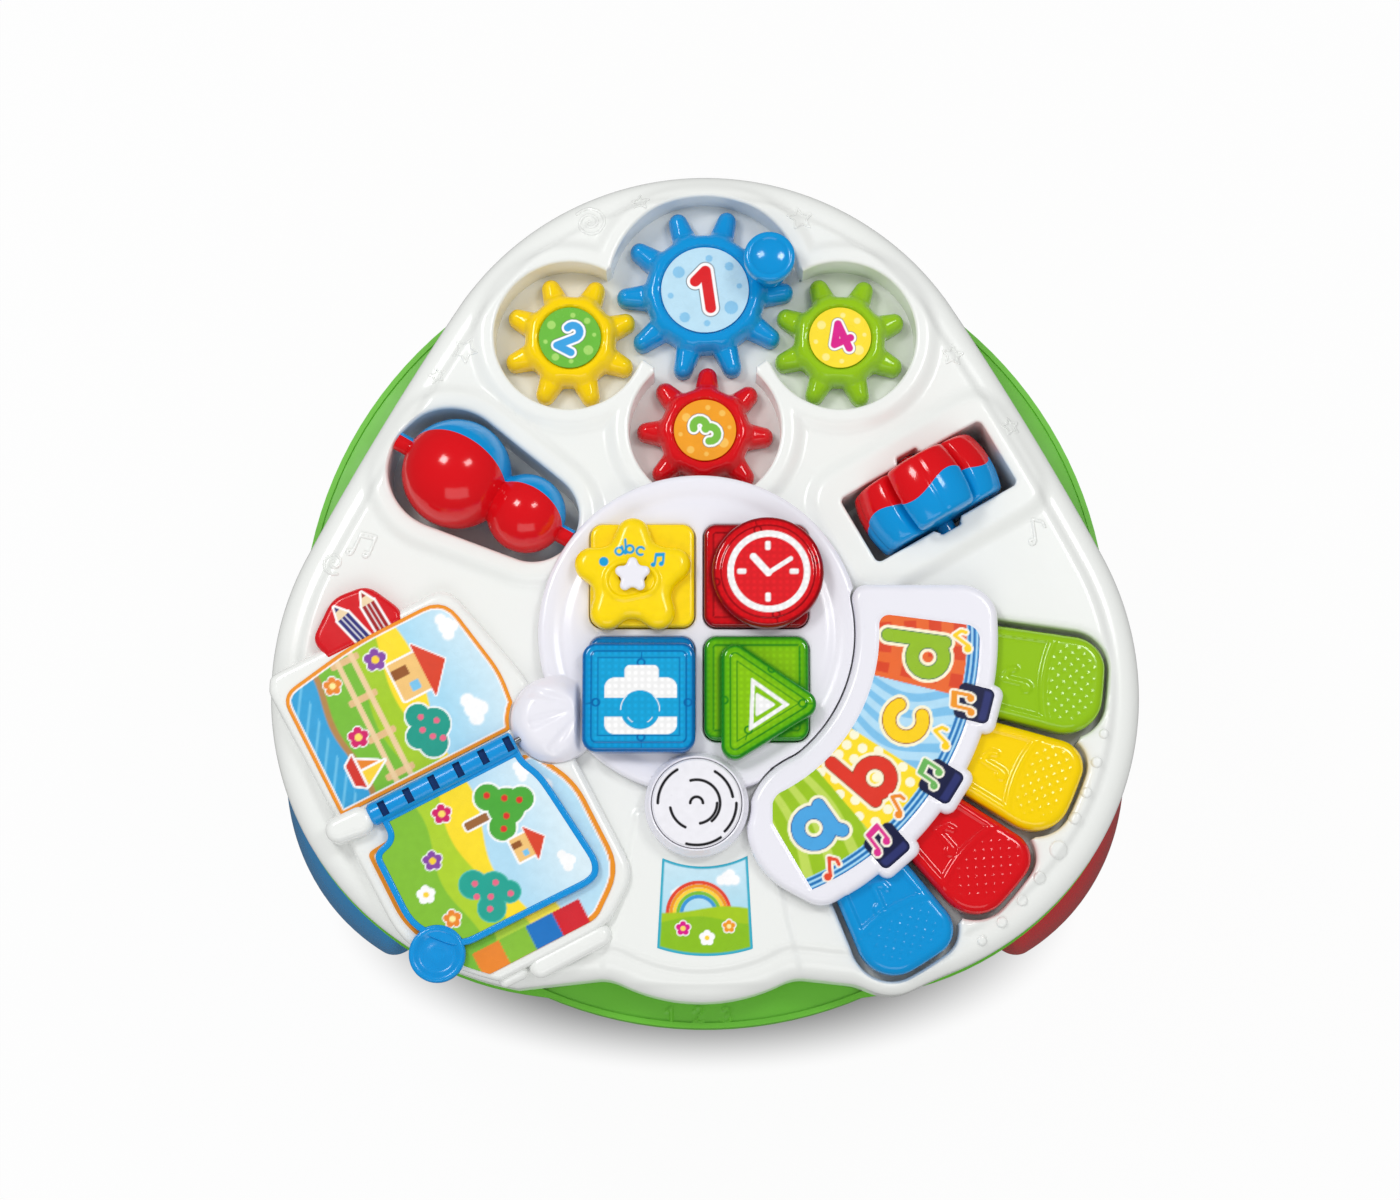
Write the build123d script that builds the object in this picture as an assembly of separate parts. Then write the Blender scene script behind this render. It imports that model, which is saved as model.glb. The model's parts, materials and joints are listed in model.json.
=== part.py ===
from build123d import *
import math
import os

# A toddler's activity table: a white three-lobed deck on a round green tray, carried by three
# curved legs. On the deck are a train of four finger gears, a tumbling double ball, a flower
# roller, four push buttons, four piano keys, a letter panel and a book with one turning leaf.
# Millimetres, +Z up, +Y towards the back of the table, floor at z = 0.

# Heights above the floor
seam_z = 296.0          # where the deck meets the tray
deck_step_z = 329.0     # outer band of the deck
deck_top_z = 332.0      # main face of the deck
ridge_top_z = 336.0     # soft borders round the wells
well_floor_z = 314.0    # floor of the gear wells
tray_floor_z = 252.0    # underside of the tray
cover_top_z = 341.0     # round cover plate in the middle
panel_under_z = 339.0   # letter panel hangs over the keys from here
panel_top_z = 343.0
basin_floor_z = 316.0   # floor under the piano keys
key_top_z = 337.5
book_top_z = 339.5      # face of the fixed pages
leaf_axis_z = 342.0     # hinge line of the turning leaf
ball_axis_z = 331.0
roller_axis_z = 322.0

# Walls and clearances
wall = 2.6
leg_wall = 3.0
play = 0.4              # side clearance of the pushed parts
bore_play = 0.08        # radial clearance of pins in their bores
seat_gap = 0.3          # between parts of different bodies that almost touch

# Deck and tray outline
lobe_reach = 222.0
side_reach = 0.85135 * lobe_reach
lobe_radius = 0.65766 * lobe_reach
deck_edge_fillet = 11.0
plateau_inset = 13.0
tray_radius = lobe_reach - 22.0
flange_proud = 1.2
flange_height = 4.0
tray_bottom_fillet = 22.0
leg_angles = [90.0, 210.0, 330.0]

# Legs
leg_reach = lobe_reach + 10.0
leg_foot_reach = lobe_reach - 3.0
leg_top_reach = lobe_reach - 2.0
leg_width = 112.0
leg_depth = 60.0
leg_foot_width = 74.0
leg_foot_depth = 44.0
leg_bulge_z = 232.0
leg_top_z = seam_z - flange_height
foot_height = 9.0
spigot_radius = 17.0
spigot_height = 14.0

# Gear train
mesh_distance = 71.0
blue_centre = (0.0, 161.5)
blue_teeth = 10
blue_tip = 44.0
blue_root = 30.0
small_teeth = 8
small_tip = 33.8
small_root = 21.5
tooth_root_width = 13.0
tooth_tip_width = 9.5
gear_lift = 1.0         # gear underside above the well floor
gear_thickness = 12.0
hub_rise = 4.0
disc_margin = 6.5
disc_depth = 2.2        # the recess of the printed disc below the hub ring
washer_radius = 9.0
washer_height = 1.4
disc_thickness = 1.2
post_radius = 6.0
well_margin = 3.4
ridge_width = 9.0
blue_phase = 2.0
side_drop = 20.0        # the side gears sit this many degrees below the blue gear's level

# Crank knob on the blue gear
knob_orbit = 33.6
knob_angle = 20.0
knob_radius = 12.6
knob_height = 15.0
knob_boss_radius = 9.5
knob_pin_radius = 3.2

# Double ball
ball_mid = (-104.5, 58.3)
ball_turn = -30.0
ball_spacing = 39.4
big_ball_radius = 27.0
small_ball_radius = 19.5
ball_stub_radius = 4.6
ball_stub_length = 5.0
ball_split = 56.0       # tilt of the joint face between the halves
ball_well_margin = 7.0
pin_radius = 2.0
pin_seat = 6.0

# Flower roller
roller_mid = (109.3, 58.8)
roller_turn = 30.0
roller_reach = 36.0
roller_width = 33.0
roller_lobes = 5
roller_hub_radius = 25.0
roller_petal_radius = 28.3   # the two flanks of a petal are arcs that meet in a soft ridge
roller_petal_side = 4.0
roller_petal_half = 33.5     # half of a petal's angle, the rest is the groove
roller_barrel = 4.0
window_length = 79.5
window_width = 36.6
window_radius = 3.0

# Round cover and its four buttons
cover_centre = (-2.8, -12.0)
cover_radius = 78.0
cover_plate = 3.0
bay_radius = 66.0
cover_cavity = 75.0
bay_floor_z = 306.0
board_z = 310.0
board_thickness = 1.6
board_radius = 63.0
boss_orbit = 57.8       # bosses of the cover stand on the board
button_base = 50.4
button_gap = 4.6
button_travel = 3.0
switch_travel = 3.5
button_base_z = 344.8   # top face of the square bases
button_cap = 7.5        # the shaped caps stand this far above the bases
button_wall = 1.8
button_corner = 6.0
button_skirt_z = 335.7  # lower edge of the bases, above the deck when pressed
button_flange = 1.1
dome_height = 6.4
dome_radius = 6.0
scallop_centre = (-72.6, -54.0)
scallop_radius = 21.0
speaker_centre = (-4.0, -95.3)
speaker_radius = 25.0
grille_radius = 21.5
cone_radius = 18.0

# Letter panel
panel_inner = 75.5
panel_outer = 144.5
panel_start = 0.0
panel_end = -61.0
panel_offset = 23.8
panel_cap = (55.0, -105.0)   # the round lower end of the panel
panel_cap_radius = 35.0
panel_corner = (55.7, -129.2)
panel_corner_radius = 14.0
bump_angles = [-14.9, -32.0, -48.8]
bump_reach = 149.5
bump_size = 24.0
panel_foot_outer = 112.0

# Piano keys
fan_centre = (11.0, -18.5)
key_count = 4
key_first = -6.2
key_step = -17.5
key_inner = 98.0
key_outer = lobe_reach - 39.0   # reach of the first key, the others are a little shorter
key_shorten = 1.5
key_corners = (14.0, 20.0)
first_key_edge = 31.4    # the first key is wider at its free side, where its edge runs straight
first_key_lean = -8.2
key_gap = 1.7           # half of the gap between neighbours
key_pivot = 105.5
key_skirt_z = 324.0
key_travel_deg = 4.0
key_pin_radius = 1.5
basin_margin = 3.5
key_dome_radius = 5.0
key_dome_orbit = 150.0
border_beads = 9
bead_orbit = key_outer + 3.3
bead_radius = 3.0
middle_bead_radius = 5.0
bead_step = 4.45
bead_middle = -30.7

# Book
book_mid = (-123.8, -82.2)
book_turn = 27.5
page_left = -53.0
page_right = 46.0
page_near = 7.0
page_far = 79.0
page_rim = 4.0
base_far = -93.0
base_left = -50.0
base_right = 54.0
leaf_left = -48.0
leaf_right = 46.5
leaf_far = -77.5
leaf_thickness = 3.6
print_depth = 0.7
hinge_left = -41.0
hinge_right = 36.6
hinge_radius = 5.6
hinge_pin_radius = 1.5
boss_radius = 8.0
tab_radius = 13.5
tab_centre = (-42.0, -73.5)
page_sheet = 0.8

# Batteries and fasteners
cell_radius = 7.2
cell_length = 50.0
cell_count = 3
door_size = (74.0, 62.0)
door_thickness = 2.4
screw_radius = 1.5
screw_head = 3.0
screw_head_height = 2.0
boss_outer = 4.5

os.makedirs("parts", exist_ok=True)


# Small helpers
def polar(radius, degrees, centre=(0.0, 0.0)):
    """Point at a distance and direction from a centre."""
    angle = math.radians(degrees)
    return (centre[0] + radius * math.cos(angle), centre[1] + radius * math.sin(angle))


def at(point, z=0.0):
    return Location((point[0], point[1], z))


def slab(face, low, high):
    """Extrude a flat face from one height to another."""
    return extrude(Plane.XY.offset(low) * face, high - low)


def round_top(solid, radius, z):
    """Round the edges that lie in the top face at height z."""
    edges = [e for e in solid.edges() if e.bounding_box().min.Z > z - 0.01]
    return fillet(edges, radius)


def bevel_top(solid, size, z):
    """Bevel the edges that lie in the top face at height z."""
    edges = [e for e in solid.edges() if e.bounding_box().min.Z > z - 0.01]
    return chamfer(edges, size)


def disc(centre, radius, low, high):
    return slab(at(centre) * Circle(radius), low, high)


def trefoil(reach, side, radius, turn=90.0):
    """Closed outline of three lobe arcs joined by three long shallow arcs."""
    orbit = reach - radius
    back = (orbit ** 2 - (side - radius) ** 2) / (2 * (side - radius) - orbit)
    long_radius = side + back
    edges = []
    for lobe in range(3):
        here = turn + 120.0 * lobe
        centre = polar(orbit, here)
        ends = []
        for swing in (-60.0, 60.0):
            pivot = polar(-back, here + swing)
            scale = long_radius / math.dist(pivot, centre)
            ends.append((pivot[0] + (centre[0] - pivot[0]) * scale,
                         pivot[1] + (centre[1] - pivot[1]) * scale))
        nxt = polar(orbit, here + 120.0)
        pivot = polar(-back, here + 60.0)
        scale = long_radius / math.dist(pivot, nxt)
        far = (pivot[0] + (nxt[0] - pivot[0]) * scale, pivot[1] + (nxt[1] - pivot[1]) * scale)
        edges.append(ThreePointArc(ends[0], polar(reach, here), ends[1]))
        edges.append(ThreePointArc(ends[1], polar(side, here + 60.0), far))
    return make_face(Wire(edges))


def deck_outline(grow=0.0):
    return trefoil(lobe_reach + grow, side_reach + grow, lobe_radius + grow)


# Places that several parts share
def gear_centres():
    left = polar(mesh_distance, 180.0 + side_drop, blue_centre)
    right = polar(mesh_distance, -side_drop, blue_centre)
    front = polar(mesh_distance, -90.0, blue_centre)
    return {"yellow": left, "green": right, "red": front}


def gear_phases():
    """Directions of one tooth on each small gear, so that it stands in a gap of the blue gear."""
    pitch = 360.0 / blue_teeth
    small_pitch = 360.0 / small_teeth
    phases = {}
    for name, centre in gear_centres().items():
        line = math.degrees(math.atan2(centre[1] - blue_centre[1], centre[0] - blue_centre[0]))
        share = ((line - blue_phase) / pitch) % 1.0
        phases[name] = line + 180.0 + (share - 0.5) * small_pitch
    return phases


def book_point(u, n):
    """Point of the book, u along its hinge and n across it."""
    along = polar(u, book_turn, book_mid)
    return polar(n, book_turn + 90.0, along)


def book_place(z=0.0):
    return Location((book_mid[0], book_mid[1], z), (0, 0, book_turn))


def key_angle(index):
    return key_first + key_step * index


def button_centres():
    reach = (button_base + button_gap) / 2
    signs = {"star": (-1, 1), "clock": (1, 1), "camera": (-1, -1), "triangle": (1, -1)}
    return {name: (cover_centre[0] + sx * reach, cover_centre[1] + sy * reach)
            for name, (sx, sy) in signs.items()}


def ball_centres():
    big = polar(-ball_spacing / 2, ball_turn, ball_mid)
    small = polar(ball_spacing / 2, ball_turn, ball_mid)
    return big, small


def ball_ends():
    """Outer ends of the double ball's stubs, measured along its axis from the middle."""
    low = -ball_spacing / 2 - big_ball_radius - ball_stub_length
    high = ball_spacing / 2 + small_ball_radius + ball_stub_length
    return low, high


def case_screw_points():
    return [polar(tray_radius - 14.0, 30.0 + 60.0 * i + side) for i in (0, 2, 4) for side in (-22.0, 22.0)]


# Gear wells
def gear_well_face(grow=0.0):
    face = at(blue_centre) * Circle(blue_tip + well_margin + grow)
    for centre in gear_centres().values():
        face += at(centre) * Circle(small_tip + well_margin + grow)
    return face


def ball_well_face(grow=0.0):
    big, small = ball_centres()
    circles = Sketch() + at(big) * Circle(big_ball_radius + ball_well_margin + grow)
    circles += at(small) * Circle(small_ball_radius + ball_well_margin + grow)
    return make_hull(circles.edges())


def window_face(grow=0.0):
    face = RectangleRounded(window_length + 2 * grow, window_width + 2 * grow, window_radius + grow)
    return Location((roller_mid[0], roller_mid[1], 0), (0, 0, roller_turn)) * face


def sector_face(centre, inner, outer, start, end):
    """Part of a ring between two directions, the first of them the larger."""
    inner_arc = ThreePointArc(polar(inner, start, centre), polar(inner, (start + end) / 2, centre),
                              polar(inner, end, centre))
    outer_arc = ThreePointArc(polar(outer, end, centre), polar(outer, (start + end) / 2, centre),
                              polar(outer, start, centre))
    return make_face(Wire([inner_arc, Line(inner_arc @ 1, outer_arc @ 0), outer_arc,
                           Line(outer_arc @ 1, inner_arc @ 0)]))


def basin_face(grow=0.0):
    """Sunken area under the four keys, one round-cornered bay for each of them."""
    margin = basin_margin + grow
    face = Sketch()
    for index in range(key_count):
        face += key_face(index, key_inner - margin, margin, -margin)
    return face


def bay_face(grow=0.0):
    """Room for the circuit board and the speaker below the round cover."""
    return at(cover_centre) * Circle(bay_radius + grow) + at(speaker_centre) * Circle(cone_radius + 2.0 + grow)


def tongue_face(grow=0.0):
    """Raised tongue at the front that carries the label."""
    points = [(-33.0, -100.0), (33.0, -100.0), (46.0, -182.0), (-46.0, -182.0)]
    face = make_face(Polyline([(x, y) for x, y in points], close=True))
    face = fillet(face.vertices().sort_by(Axis.Y)[:2], 12.0)
    return offset(face, 6.0 + grow, kind=Kind.ARC)


def book_base_face():
    """Outline of the raised block under the book, kept inside the deck's edge."""
    points = [(page_left - page_rim, page_far + page_rim), (page_right - 4.0, page_far + page_rim),
              (page_right + page_rim + 4.0, 30.0), (base_right + page_rim, -12.0),
              (base_right + page_rim, base_far + 12.0), (36.0, base_far - page_rim),
              (-37.0, base_far - page_rim), (base_left - page_rim, -55.0),
              (base_left - page_rim - 1.0, -10.0)]
    face = (book_place() * make_face(Polyline(points, close=True))) & deck_outline(-2.0)
    return fillet(face.vertices(), 4.0)


# The white deck
def deck_blank():
    skin = round_top(slab(deck_outline(), seam_z, deck_step_z), deck_edge_fillet, deck_step_z)
    plateau = slab(deck_outline(-plateau_inset), deck_step_z - 3.0, deck_top_z)
    return skin + bevel_top(plateau, 2.0, deck_top_z)


def deck_hollow():
    inner = slab(deck_outline(-wall), seam_z - 1.0, deck_step_z - wall)
    return round_top(inner, deck_edge_fillet - wall, deck_step_z - wall)


def deck_ridges():
    """Soft raised borders round the gears, the double ball and the roller."""
    low = deck_top_z - 4.0
    ridges = bevel_top(slab(gear_well_face(ridge_width), low, ridge_top_z), 3.0, ridge_top_z)
    ridges += bevel_top(slab(ball_well_face(10.0), low, ridge_top_z), 3.6, ridge_top_z)
    ridges += bevel_top(slab(window_face(15.0), low, ridge_top_z), 3.6, ridge_top_z)
    ridges &= slab(deck_outline(-4.0), low, ridge_top_z)
    covered = cover_lobes(seat_gap) + panel_face(seat_gap)
    return ridges - slab(covered, deck_top_z, ridge_top_z + 1.0)


def gear_posts():
    """Bearing posts of the gears, with a screw hole down the middle."""
    top = post_top_z()
    posts = Part()
    for centre in [blue_centre] + list(gear_centres().values()):
        posts += disc(centre, post_radius, well_floor_z - 0.5, top)
        posts -= disc(centre, screw_radius, top - 9.0, top + 1.0)
    return posts


def ball_channel():
    """Slots in the ends of the ball well for the stubs, and the bores for the axle."""
    low, high = ball_ends()
    place = Location((ball_mid[0], ball_mid[1], ball_axis_z), (0, 0, ball_turn))
    length = high - low + 2 * seat_gap
    middle = (low + high) / 2
    slot_high = ridge_top_z - ball_axis_z + 2.0
    slot = Pos(middle, 0, (slot_high - ball_stub_radius - 1.0) / 2) * Box(
        length, 2 * ball_stub_radius + 2.4, slot_high + ball_stub_radius + 1.0)
    bore = Pos(middle, 0, 0) * Rot(0, 90, 0) * Cylinder(pin_radius + bore_play, length + 2 * pin_seat)
    return place * (slot + bore)


def roller_channel():
    place = Location((roller_mid[0], roller_mid[1], roller_axis_z), (0, 0, roller_turn + 90.0))
    length = roller_width + 2 * ball_stub_length + 2 * seat_gap
    slot_high = ridge_top_z - roller_axis_z + 2.0
    slot = Pos(0, 0, (slot_high - ball_stub_radius - 1.0) / 2) * Box(
        length, 2 * ball_stub_radius + 2.4, slot_high + ball_stub_radius + 1.0)
    bore = Rot(0, 90, 0) * Cylinder(pin_radius + bore_play, length + 2 * pin_seat)
    return place * (slot + bore)


def axle_blocks():
    """Solid ends of the two axle wells, which hold the bores."""
    low, high = ball_ends()
    blocks = Part()
    for reach in (low, high):
        side = math.copysign(1.0, reach)
        centre = reach + side * (seat_gap + pin_seat / 2)
        place = Location((ball_mid[0], ball_mid[1], 0), (0, 0, ball_turn))
        tall = ridge_top_z - 2.0 - (ball_axis_z - 8.0)
        blocks += place * Pos(centre, 0, ball_axis_z - 8.0 + tall / 2) * Box(pin_seat + 1.6, 15.0, tall)
    place = Location((roller_mid[0], roller_mid[1], 0), (0, 0, roller_turn + 90.0))
    for side in (-1.0, 1.0):
        centre = side * (roller_width / 2 + ball_stub_length + seat_gap + pin_seat / 2)
        tall = ridge_top_z - 2.0 - (roller_axis_z - 8.0)
        blocks += place * Pos(centre, 0, roller_axis_z - 8.0 + tall / 2) * Box(pin_seat + 1.6, 15.0, tall)
    return blocks


def key_ears():
    """Ears on the basin floor that carry the key pins."""
    ears = Part()
    for index in range(key_count):
        place = Location((*fan_centre, 0), (0, 0, key_angle(index)))
        half = key_half_width(key_pivot)
        for side in (-1.0, 1.0):
            reach = side * (half - 5.0)
            tall = key_pin_z() + 3.6 - basin_floor_z
            ear = Pos(key_pivot, reach, basin_floor_z + tall / 2 - 0.5) * Box(7.0, 3.0, tall + 1.0)
            ears += place * ear
        bore = Pos(key_pivot, 0, key_pin_z()) * Rot(90, 0, 0) * Cylinder(key_pin_radius, 2 * half)
        ears -= place * bore
    return ears


def key_pin_z():
    return (key_skirt_z + key_top_z) / 2 - 2.0


def key_half_width(radius):
    return radius * math.radians(abs(key_step) / 2) - key_gap


def top_deck():
    ball_floor_z = ball_axis_z - big_ball_radius - 2.0
    pit_floor_z = roller_axis_z - roller_reach - 2.0
    deck = deck_blank() + deck_ridges()
    deck -= deck_hollow()
    wells = slab(gear_well_face(wall), well_floor_z - wall, deck_step_z)
    wells += slab(ball_well_face(wall), ball_floor_z - wall, deck_step_z)
    wells += slab(window_face(wall), pit_floor_z - wall, deck_step_z)
    wells += slab(basin_face(wall), basin_floor_z - wall, deck_step_z)
    wells += slab(bay_face(wall), bay_floor_z - wall, deck_step_z)
    deck += wells & slab(deck_outline(-1.0), pit_floor_z - wall, deck_step_z)
    deck += axle_blocks() - slab(cover_lobes(seat_gap), deck_top_z, ridge_top_z + 1.0)
    deck += bevel_top(slab(tongue_face(), deck_step_z - 30.0, deck_top_z + 1.5), 3.0, deck_top_z + 1.5)
    deck -= slab(tongue_face(-wall), seam_z - 1.0, deck_top_z + 1.5 - wall)
    deck -= slab(gear_well_face(), well_floor_z, ridge_top_z + 1.0)
    deck -= slab(ball_well_face(), ball_floor_z, ridge_top_z + 1.0)
    deck -= slab(window_face(), pit_floor_z, ridge_top_z + 1.0)
    deck -= slab(basin_face(), basin_floor_z, ridge_top_z + 1.0)
    deck -= slab(bay_face(), bay_floor_z, ridge_top_z + 1.0)
    deck -= ball_channel()
    deck -= roller_channel()
    deck += gear_posts()
    deck += key_ears()
    return deck


# The green tray and what closes it
def leg_pocket_face(angle, grow=0.0):
    """Room that the top of one leg takes, seen from above."""
    depth = leg_depth + 12.0
    middle = leg_reach - depth / 2
    face = RectangleRounded(depth + 2 * grow, leg_width + 4.0 + 2 * grow, 24.0 + grow)
    return Location((*polar(middle, angle), 0), (0, 0, angle)) * face


def tray_bowl(grow, low):
    """Round bowl of the tray with room left out for the three legs."""
    bowl = slab(Circle(tray_radius + grow), low, seam_z)
    rim = [e for e in bowl.edges() if e.bounding_box().max.Z < low + 0.01]
    bowl = fillet(rim, tray_bottom_fillet + grow)
    for angle in leg_angles:
        bowl -= slab(leg_pocket_face(angle, 1.5 - grow), low - 1.0, seam_z + 1.0)
    return bowl


def battery_box(grow, low):
    length = cell_length + 9.0
    width = cell_count * 2 * cell_radius + 3.0
    return Pos(0, 0, (low + tray_floor_z + 20.0 + grow) / 2) * Box(
        length + 2 * grow, width + 2 * grow, tray_floor_z + 20.0 + grow - low)


def door_pocket():
    return Pos(0, 0, tray_floor_z + door_thickness / 2) * Box(
        door_size[0] + 2 * play, door_size[1] + 2 * play, door_thickness)


def door_screw_point():
    return (door_size[0] / 2 - 4.5, 0.0)


def bottom_tray():
    tray = slab(deck_outline(flange_proud), leg_top_z, seam_z)
    tray += tray_bowl(0.0, tray_floor_z)
    tray -= tray_bowl(-wall, tray_floor_z + wall)
    tray += battery_box(2.0, tray_floor_z + 0.5)
    tray += Pos(0, 0, tray_floor_z + 2.5) * Box(door_size[0] + 6.0, door_size[1] + 6.0, 4.0)
    for x, y in case_screw_points():
        tray += disc((x, y), boss_outer, tray_floor_z + 4.0, seam_z - 2.0)
    tray += disc(door_screw_point(), boss_outer, tray_floor_z + 1.0, tray_floor_z + 14.0)
    tray -= battery_box(0.0, tray_floor_z - 1.0)
    tray -= door_pocket()
    for x, y in case_screw_points():
        tray -= disc((x, y), screw_radius + 0.2, tray_floor_z - 1.0, seam_z + 1.0)
        tray -= disc((x, y), screw_head + 0.4, tray_floor_z - 1.0, seam_z - 8.0)
    tray -= disc(door_screw_point(), screw_radius, tray_floor_z, tray_floor_z + 11.0)
    for angle in leg_angles:
        tray += disc(leg_socket_point(angle), spigot_radius + 3.0, seam_z - 1.0, seam_z + spigot_height - 4.0)
        tray -= disc(leg_socket_point(angle), spigot_radius + seat_gap, leg_top_z - 1.0, seam_z + spigot_height)
    return tray


def case_screws():
    """Six screws up through the tray into the deck."""
    screws = Part()
    for point in case_screw_points():
        screws += disc(point, screw_head, seam_z - 8.0 - screw_head_height, seam_z - 8.0)
        screws += disc(point, screw_radius, seam_z - 8.0, seam_z + 10.0)
    return screws


def deck_screw_bosses(radius, high):
    bosses = Part()
    for point in case_screw_points():
        bosses += disc(point, radius, seam_z, high)
    return bosses


def battery_door():
    door = Pos(0, 0, tray_floor_z + door_thickness / 2) * Box(door_size[0], door_size[1], door_thickness)
    door -= disc(door_screw_point(), screw_radius + 0.2, tray_floor_z - 1.0, tray_floor_z + door_thickness + 1.0)
    for row in range(5):
        groove = Pos(-door_size[0] / 2 + 9.0 + 3.0 * row, 0, tray_floor_z) * Box(1.4, 22.0, 1.4)
        door -= groove
    return door


def door_screw():
    point = door_screw_point()
    screw = disc(point, screw_head, tray_floor_z - screw_head_height, tray_floor_z)
    return screw + disc(point, screw_radius, tray_floor_z, tray_floor_z + 10.0)


def cell_rows():
    pitch = 2 * cell_radius + 0.6
    return [(index - (cell_count - 1) / 2) * pitch for index in range(cell_count)]


def batteries():
    """Three cylindrical cells, each with its contact button."""
    z = tray_floor_z + door_thickness + cell_radius + 0.6
    cells = Part()
    for index, y in enumerate(cell_rows()):
        side = 1 if index % 2 == 0 else -1
        cells += Pos(0, y, z) * Rot(0, 90, 0) * Cylinder(cell_radius, cell_length)
        cells += Pos(side * (cell_length / 2 + 0.6), y, z) * Rot(0, 90, 0) * Cylinder(2.6, 1.2)
    return cells


def battery_contacts():
    """Spring plates at both ends of the battery box."""
    z = tray_floor_z + door_thickness + cell_radius + 0.6
    plates = Part()
    for index, y in enumerate(cell_rows()):
        side = 1 if index % 2 == 0 else -1
        reach = (cell_length + 9.0) / 2
        tip = reach - (cell_length / 2 + 1.2)
        plates += Pos(side * (reach - tip / 2), y, z) * Box(tip, 8.0, 8.0)
        tail = reach - cell_length / 2
        coil = Rot(0, 90, 0) * Cone(4.2, 2.2, tail) if side < 0 else Rot(0, -90, 0) * Cone(4.2, 2.2, tail)
        plates += Pos(-side * (reach - tail / 2), y, z) * Rot(0, 0, 180) * coil
    return plates


# Legs
def leg_section(reach, depth, width, z, angle, inset=0.0):
    """Cross-section of a leg: a broad outer face that curves round the table."""
    half = width / 2 - inset
    outer = reach - inset
    inner = reach - depth + inset
    bow = (width / 2) ** 2 / 190.0
    points = [(inner + 5.0, half * 0.78), (outer - bow, half), (outer, 0.0), (outer - bow, -half),
              (inner + 5.0, -half * 0.78), (inner, 0.0)]
    face = make_face(Wire([Line(points[0], points[1]), ThreePointArc(points[1], points[2], points[3]),
                           Line(points[3], points[4]), ThreePointArc(points[4], points[5], points[0])]))
    face = fillet(face.vertices(), 9.0 - inset)
    return Location((0, 0, z), (0, 0, angle)) * face


def leg_solid(angle, inset, low, high):
    """Loft of the leg, or of its hollow when inset is the wall."""
    foot = leg_section(leg_foot_reach, leg_foot_depth, leg_foot_width, low, angle, inset)
    knee = leg_section(leg_reach, leg_depth, leg_width, leg_bulge_z, angle, inset)
    top = leg_section(leg_top_reach, leg_depth - 4.0, leg_width - 6.0, high, angle, inset)
    return loft([foot, knee, top])


def leg_socket_point(angle):
    return polar(leg_top_reach - leg_depth / 2, angle)


def leg(angle):
    body = leg_solid(angle, 0.0, foot_height, leg_top_z)
    body += disc(leg_socket_point(angle), spigot_radius, leg_top_z - 0.5, leg_top_z + flange_height + spigot_height - 6.0)
    return body - leg_solid(angle, leg_wall, foot_height, leg_top_z - leg_wall)


def foot_pads():
    """Rubber feet that close the legs from below."""
    pads = Part()
    for angle in leg_angles:
        outer = leg_section(leg_foot_reach, leg_foot_depth, leg_foot_width, 0.0, angle)
        pads += extrude(outer, foot_height)
        plug = leg_section(leg_foot_reach, leg_foot_depth, leg_foot_width, foot_height - 0.5, angle, leg_wall + 1.2)
        pads += extrude(plug, 6.5)
    return pads


# Gears
def tooth_face(tip, root, angle):
    """One finger tooth, wider at its root and round at its end."""
    half_tip = tooth_tip_width / 2
    half_root = tooth_root_width / 2
    end = tip - half_tip
    points = [(root - 3.0, half_root), (end, half_tip), (end, -half_tip), (root - 3.0, -half_root)]
    outline = make_face(Wire([Line(points[0], points[1]), ThreePointArc(points[1], (tip, 0.0), points[2]),
                              Line(points[2], points[3]), Line(points[3], points[0])]))
    return Rot(0, 0, angle) * outline


def gear(centre, teeth, tip, root, phase):
    """Finger gear with a raised ring round the recess of its number disc."""
    low = well_floor_z + gear_lift
    high = low + gear_thickness
    fingers = Part()
    for index in range(teeth):
        finger = slab(tooth_face(tip, root, phase + 360.0 / teeth * index), low, high - 1.0)
        fingers += bevel_top(finger, 2.4, high - 1.0)
    ring = slab(Circle(root), low, high) + slab(Circle(root - 2.5), high - 0.5, high + hub_rise)
    body = fingers + bevel_top(ring, 1.4, high + hub_rise)
    body -= slab(Circle(root - disc_margin), disc_floor_z(), high + hub_rise + 1.0)
    body -= slab(Circle(washer_radius + seat_gap), post_top_z() - 2 * seat_gap, disc_floor_z())
    body -= slab(Circle(post_radius + bore_play), low - 1.0, high)
    return at(centre) * body


def post_top_z():
    return well_floor_z + gear_lift + gear_thickness - 2.0


def disc_floor_z():
    return well_floor_z + gear_lift + gear_thickness + hub_rise - disc_depth


def gear_blue():
    body = gear(blue_centre, blue_teeth, blue_tip, blue_root, blue_phase)
    top = well_floor_z + gear_lift + gear_thickness
    centre = knob_point()
    body += disc(centre, knob_boss_radius, top - 0.4, knob_low_z() - seat_gap)
    body += disc(centre, knob_pin_radius, top, knob_low_z() + 8.0)
    body += disc(centre, knob_pin_radius + 1.2, knob_low_z() + 6.0, knob_low_z() + 8.0)
    return body


def knob_point():
    return polar(knob_orbit, knob_angle, blue_centre)


def knob_low_z():
    return ridge_top_z + 0.8


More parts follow.
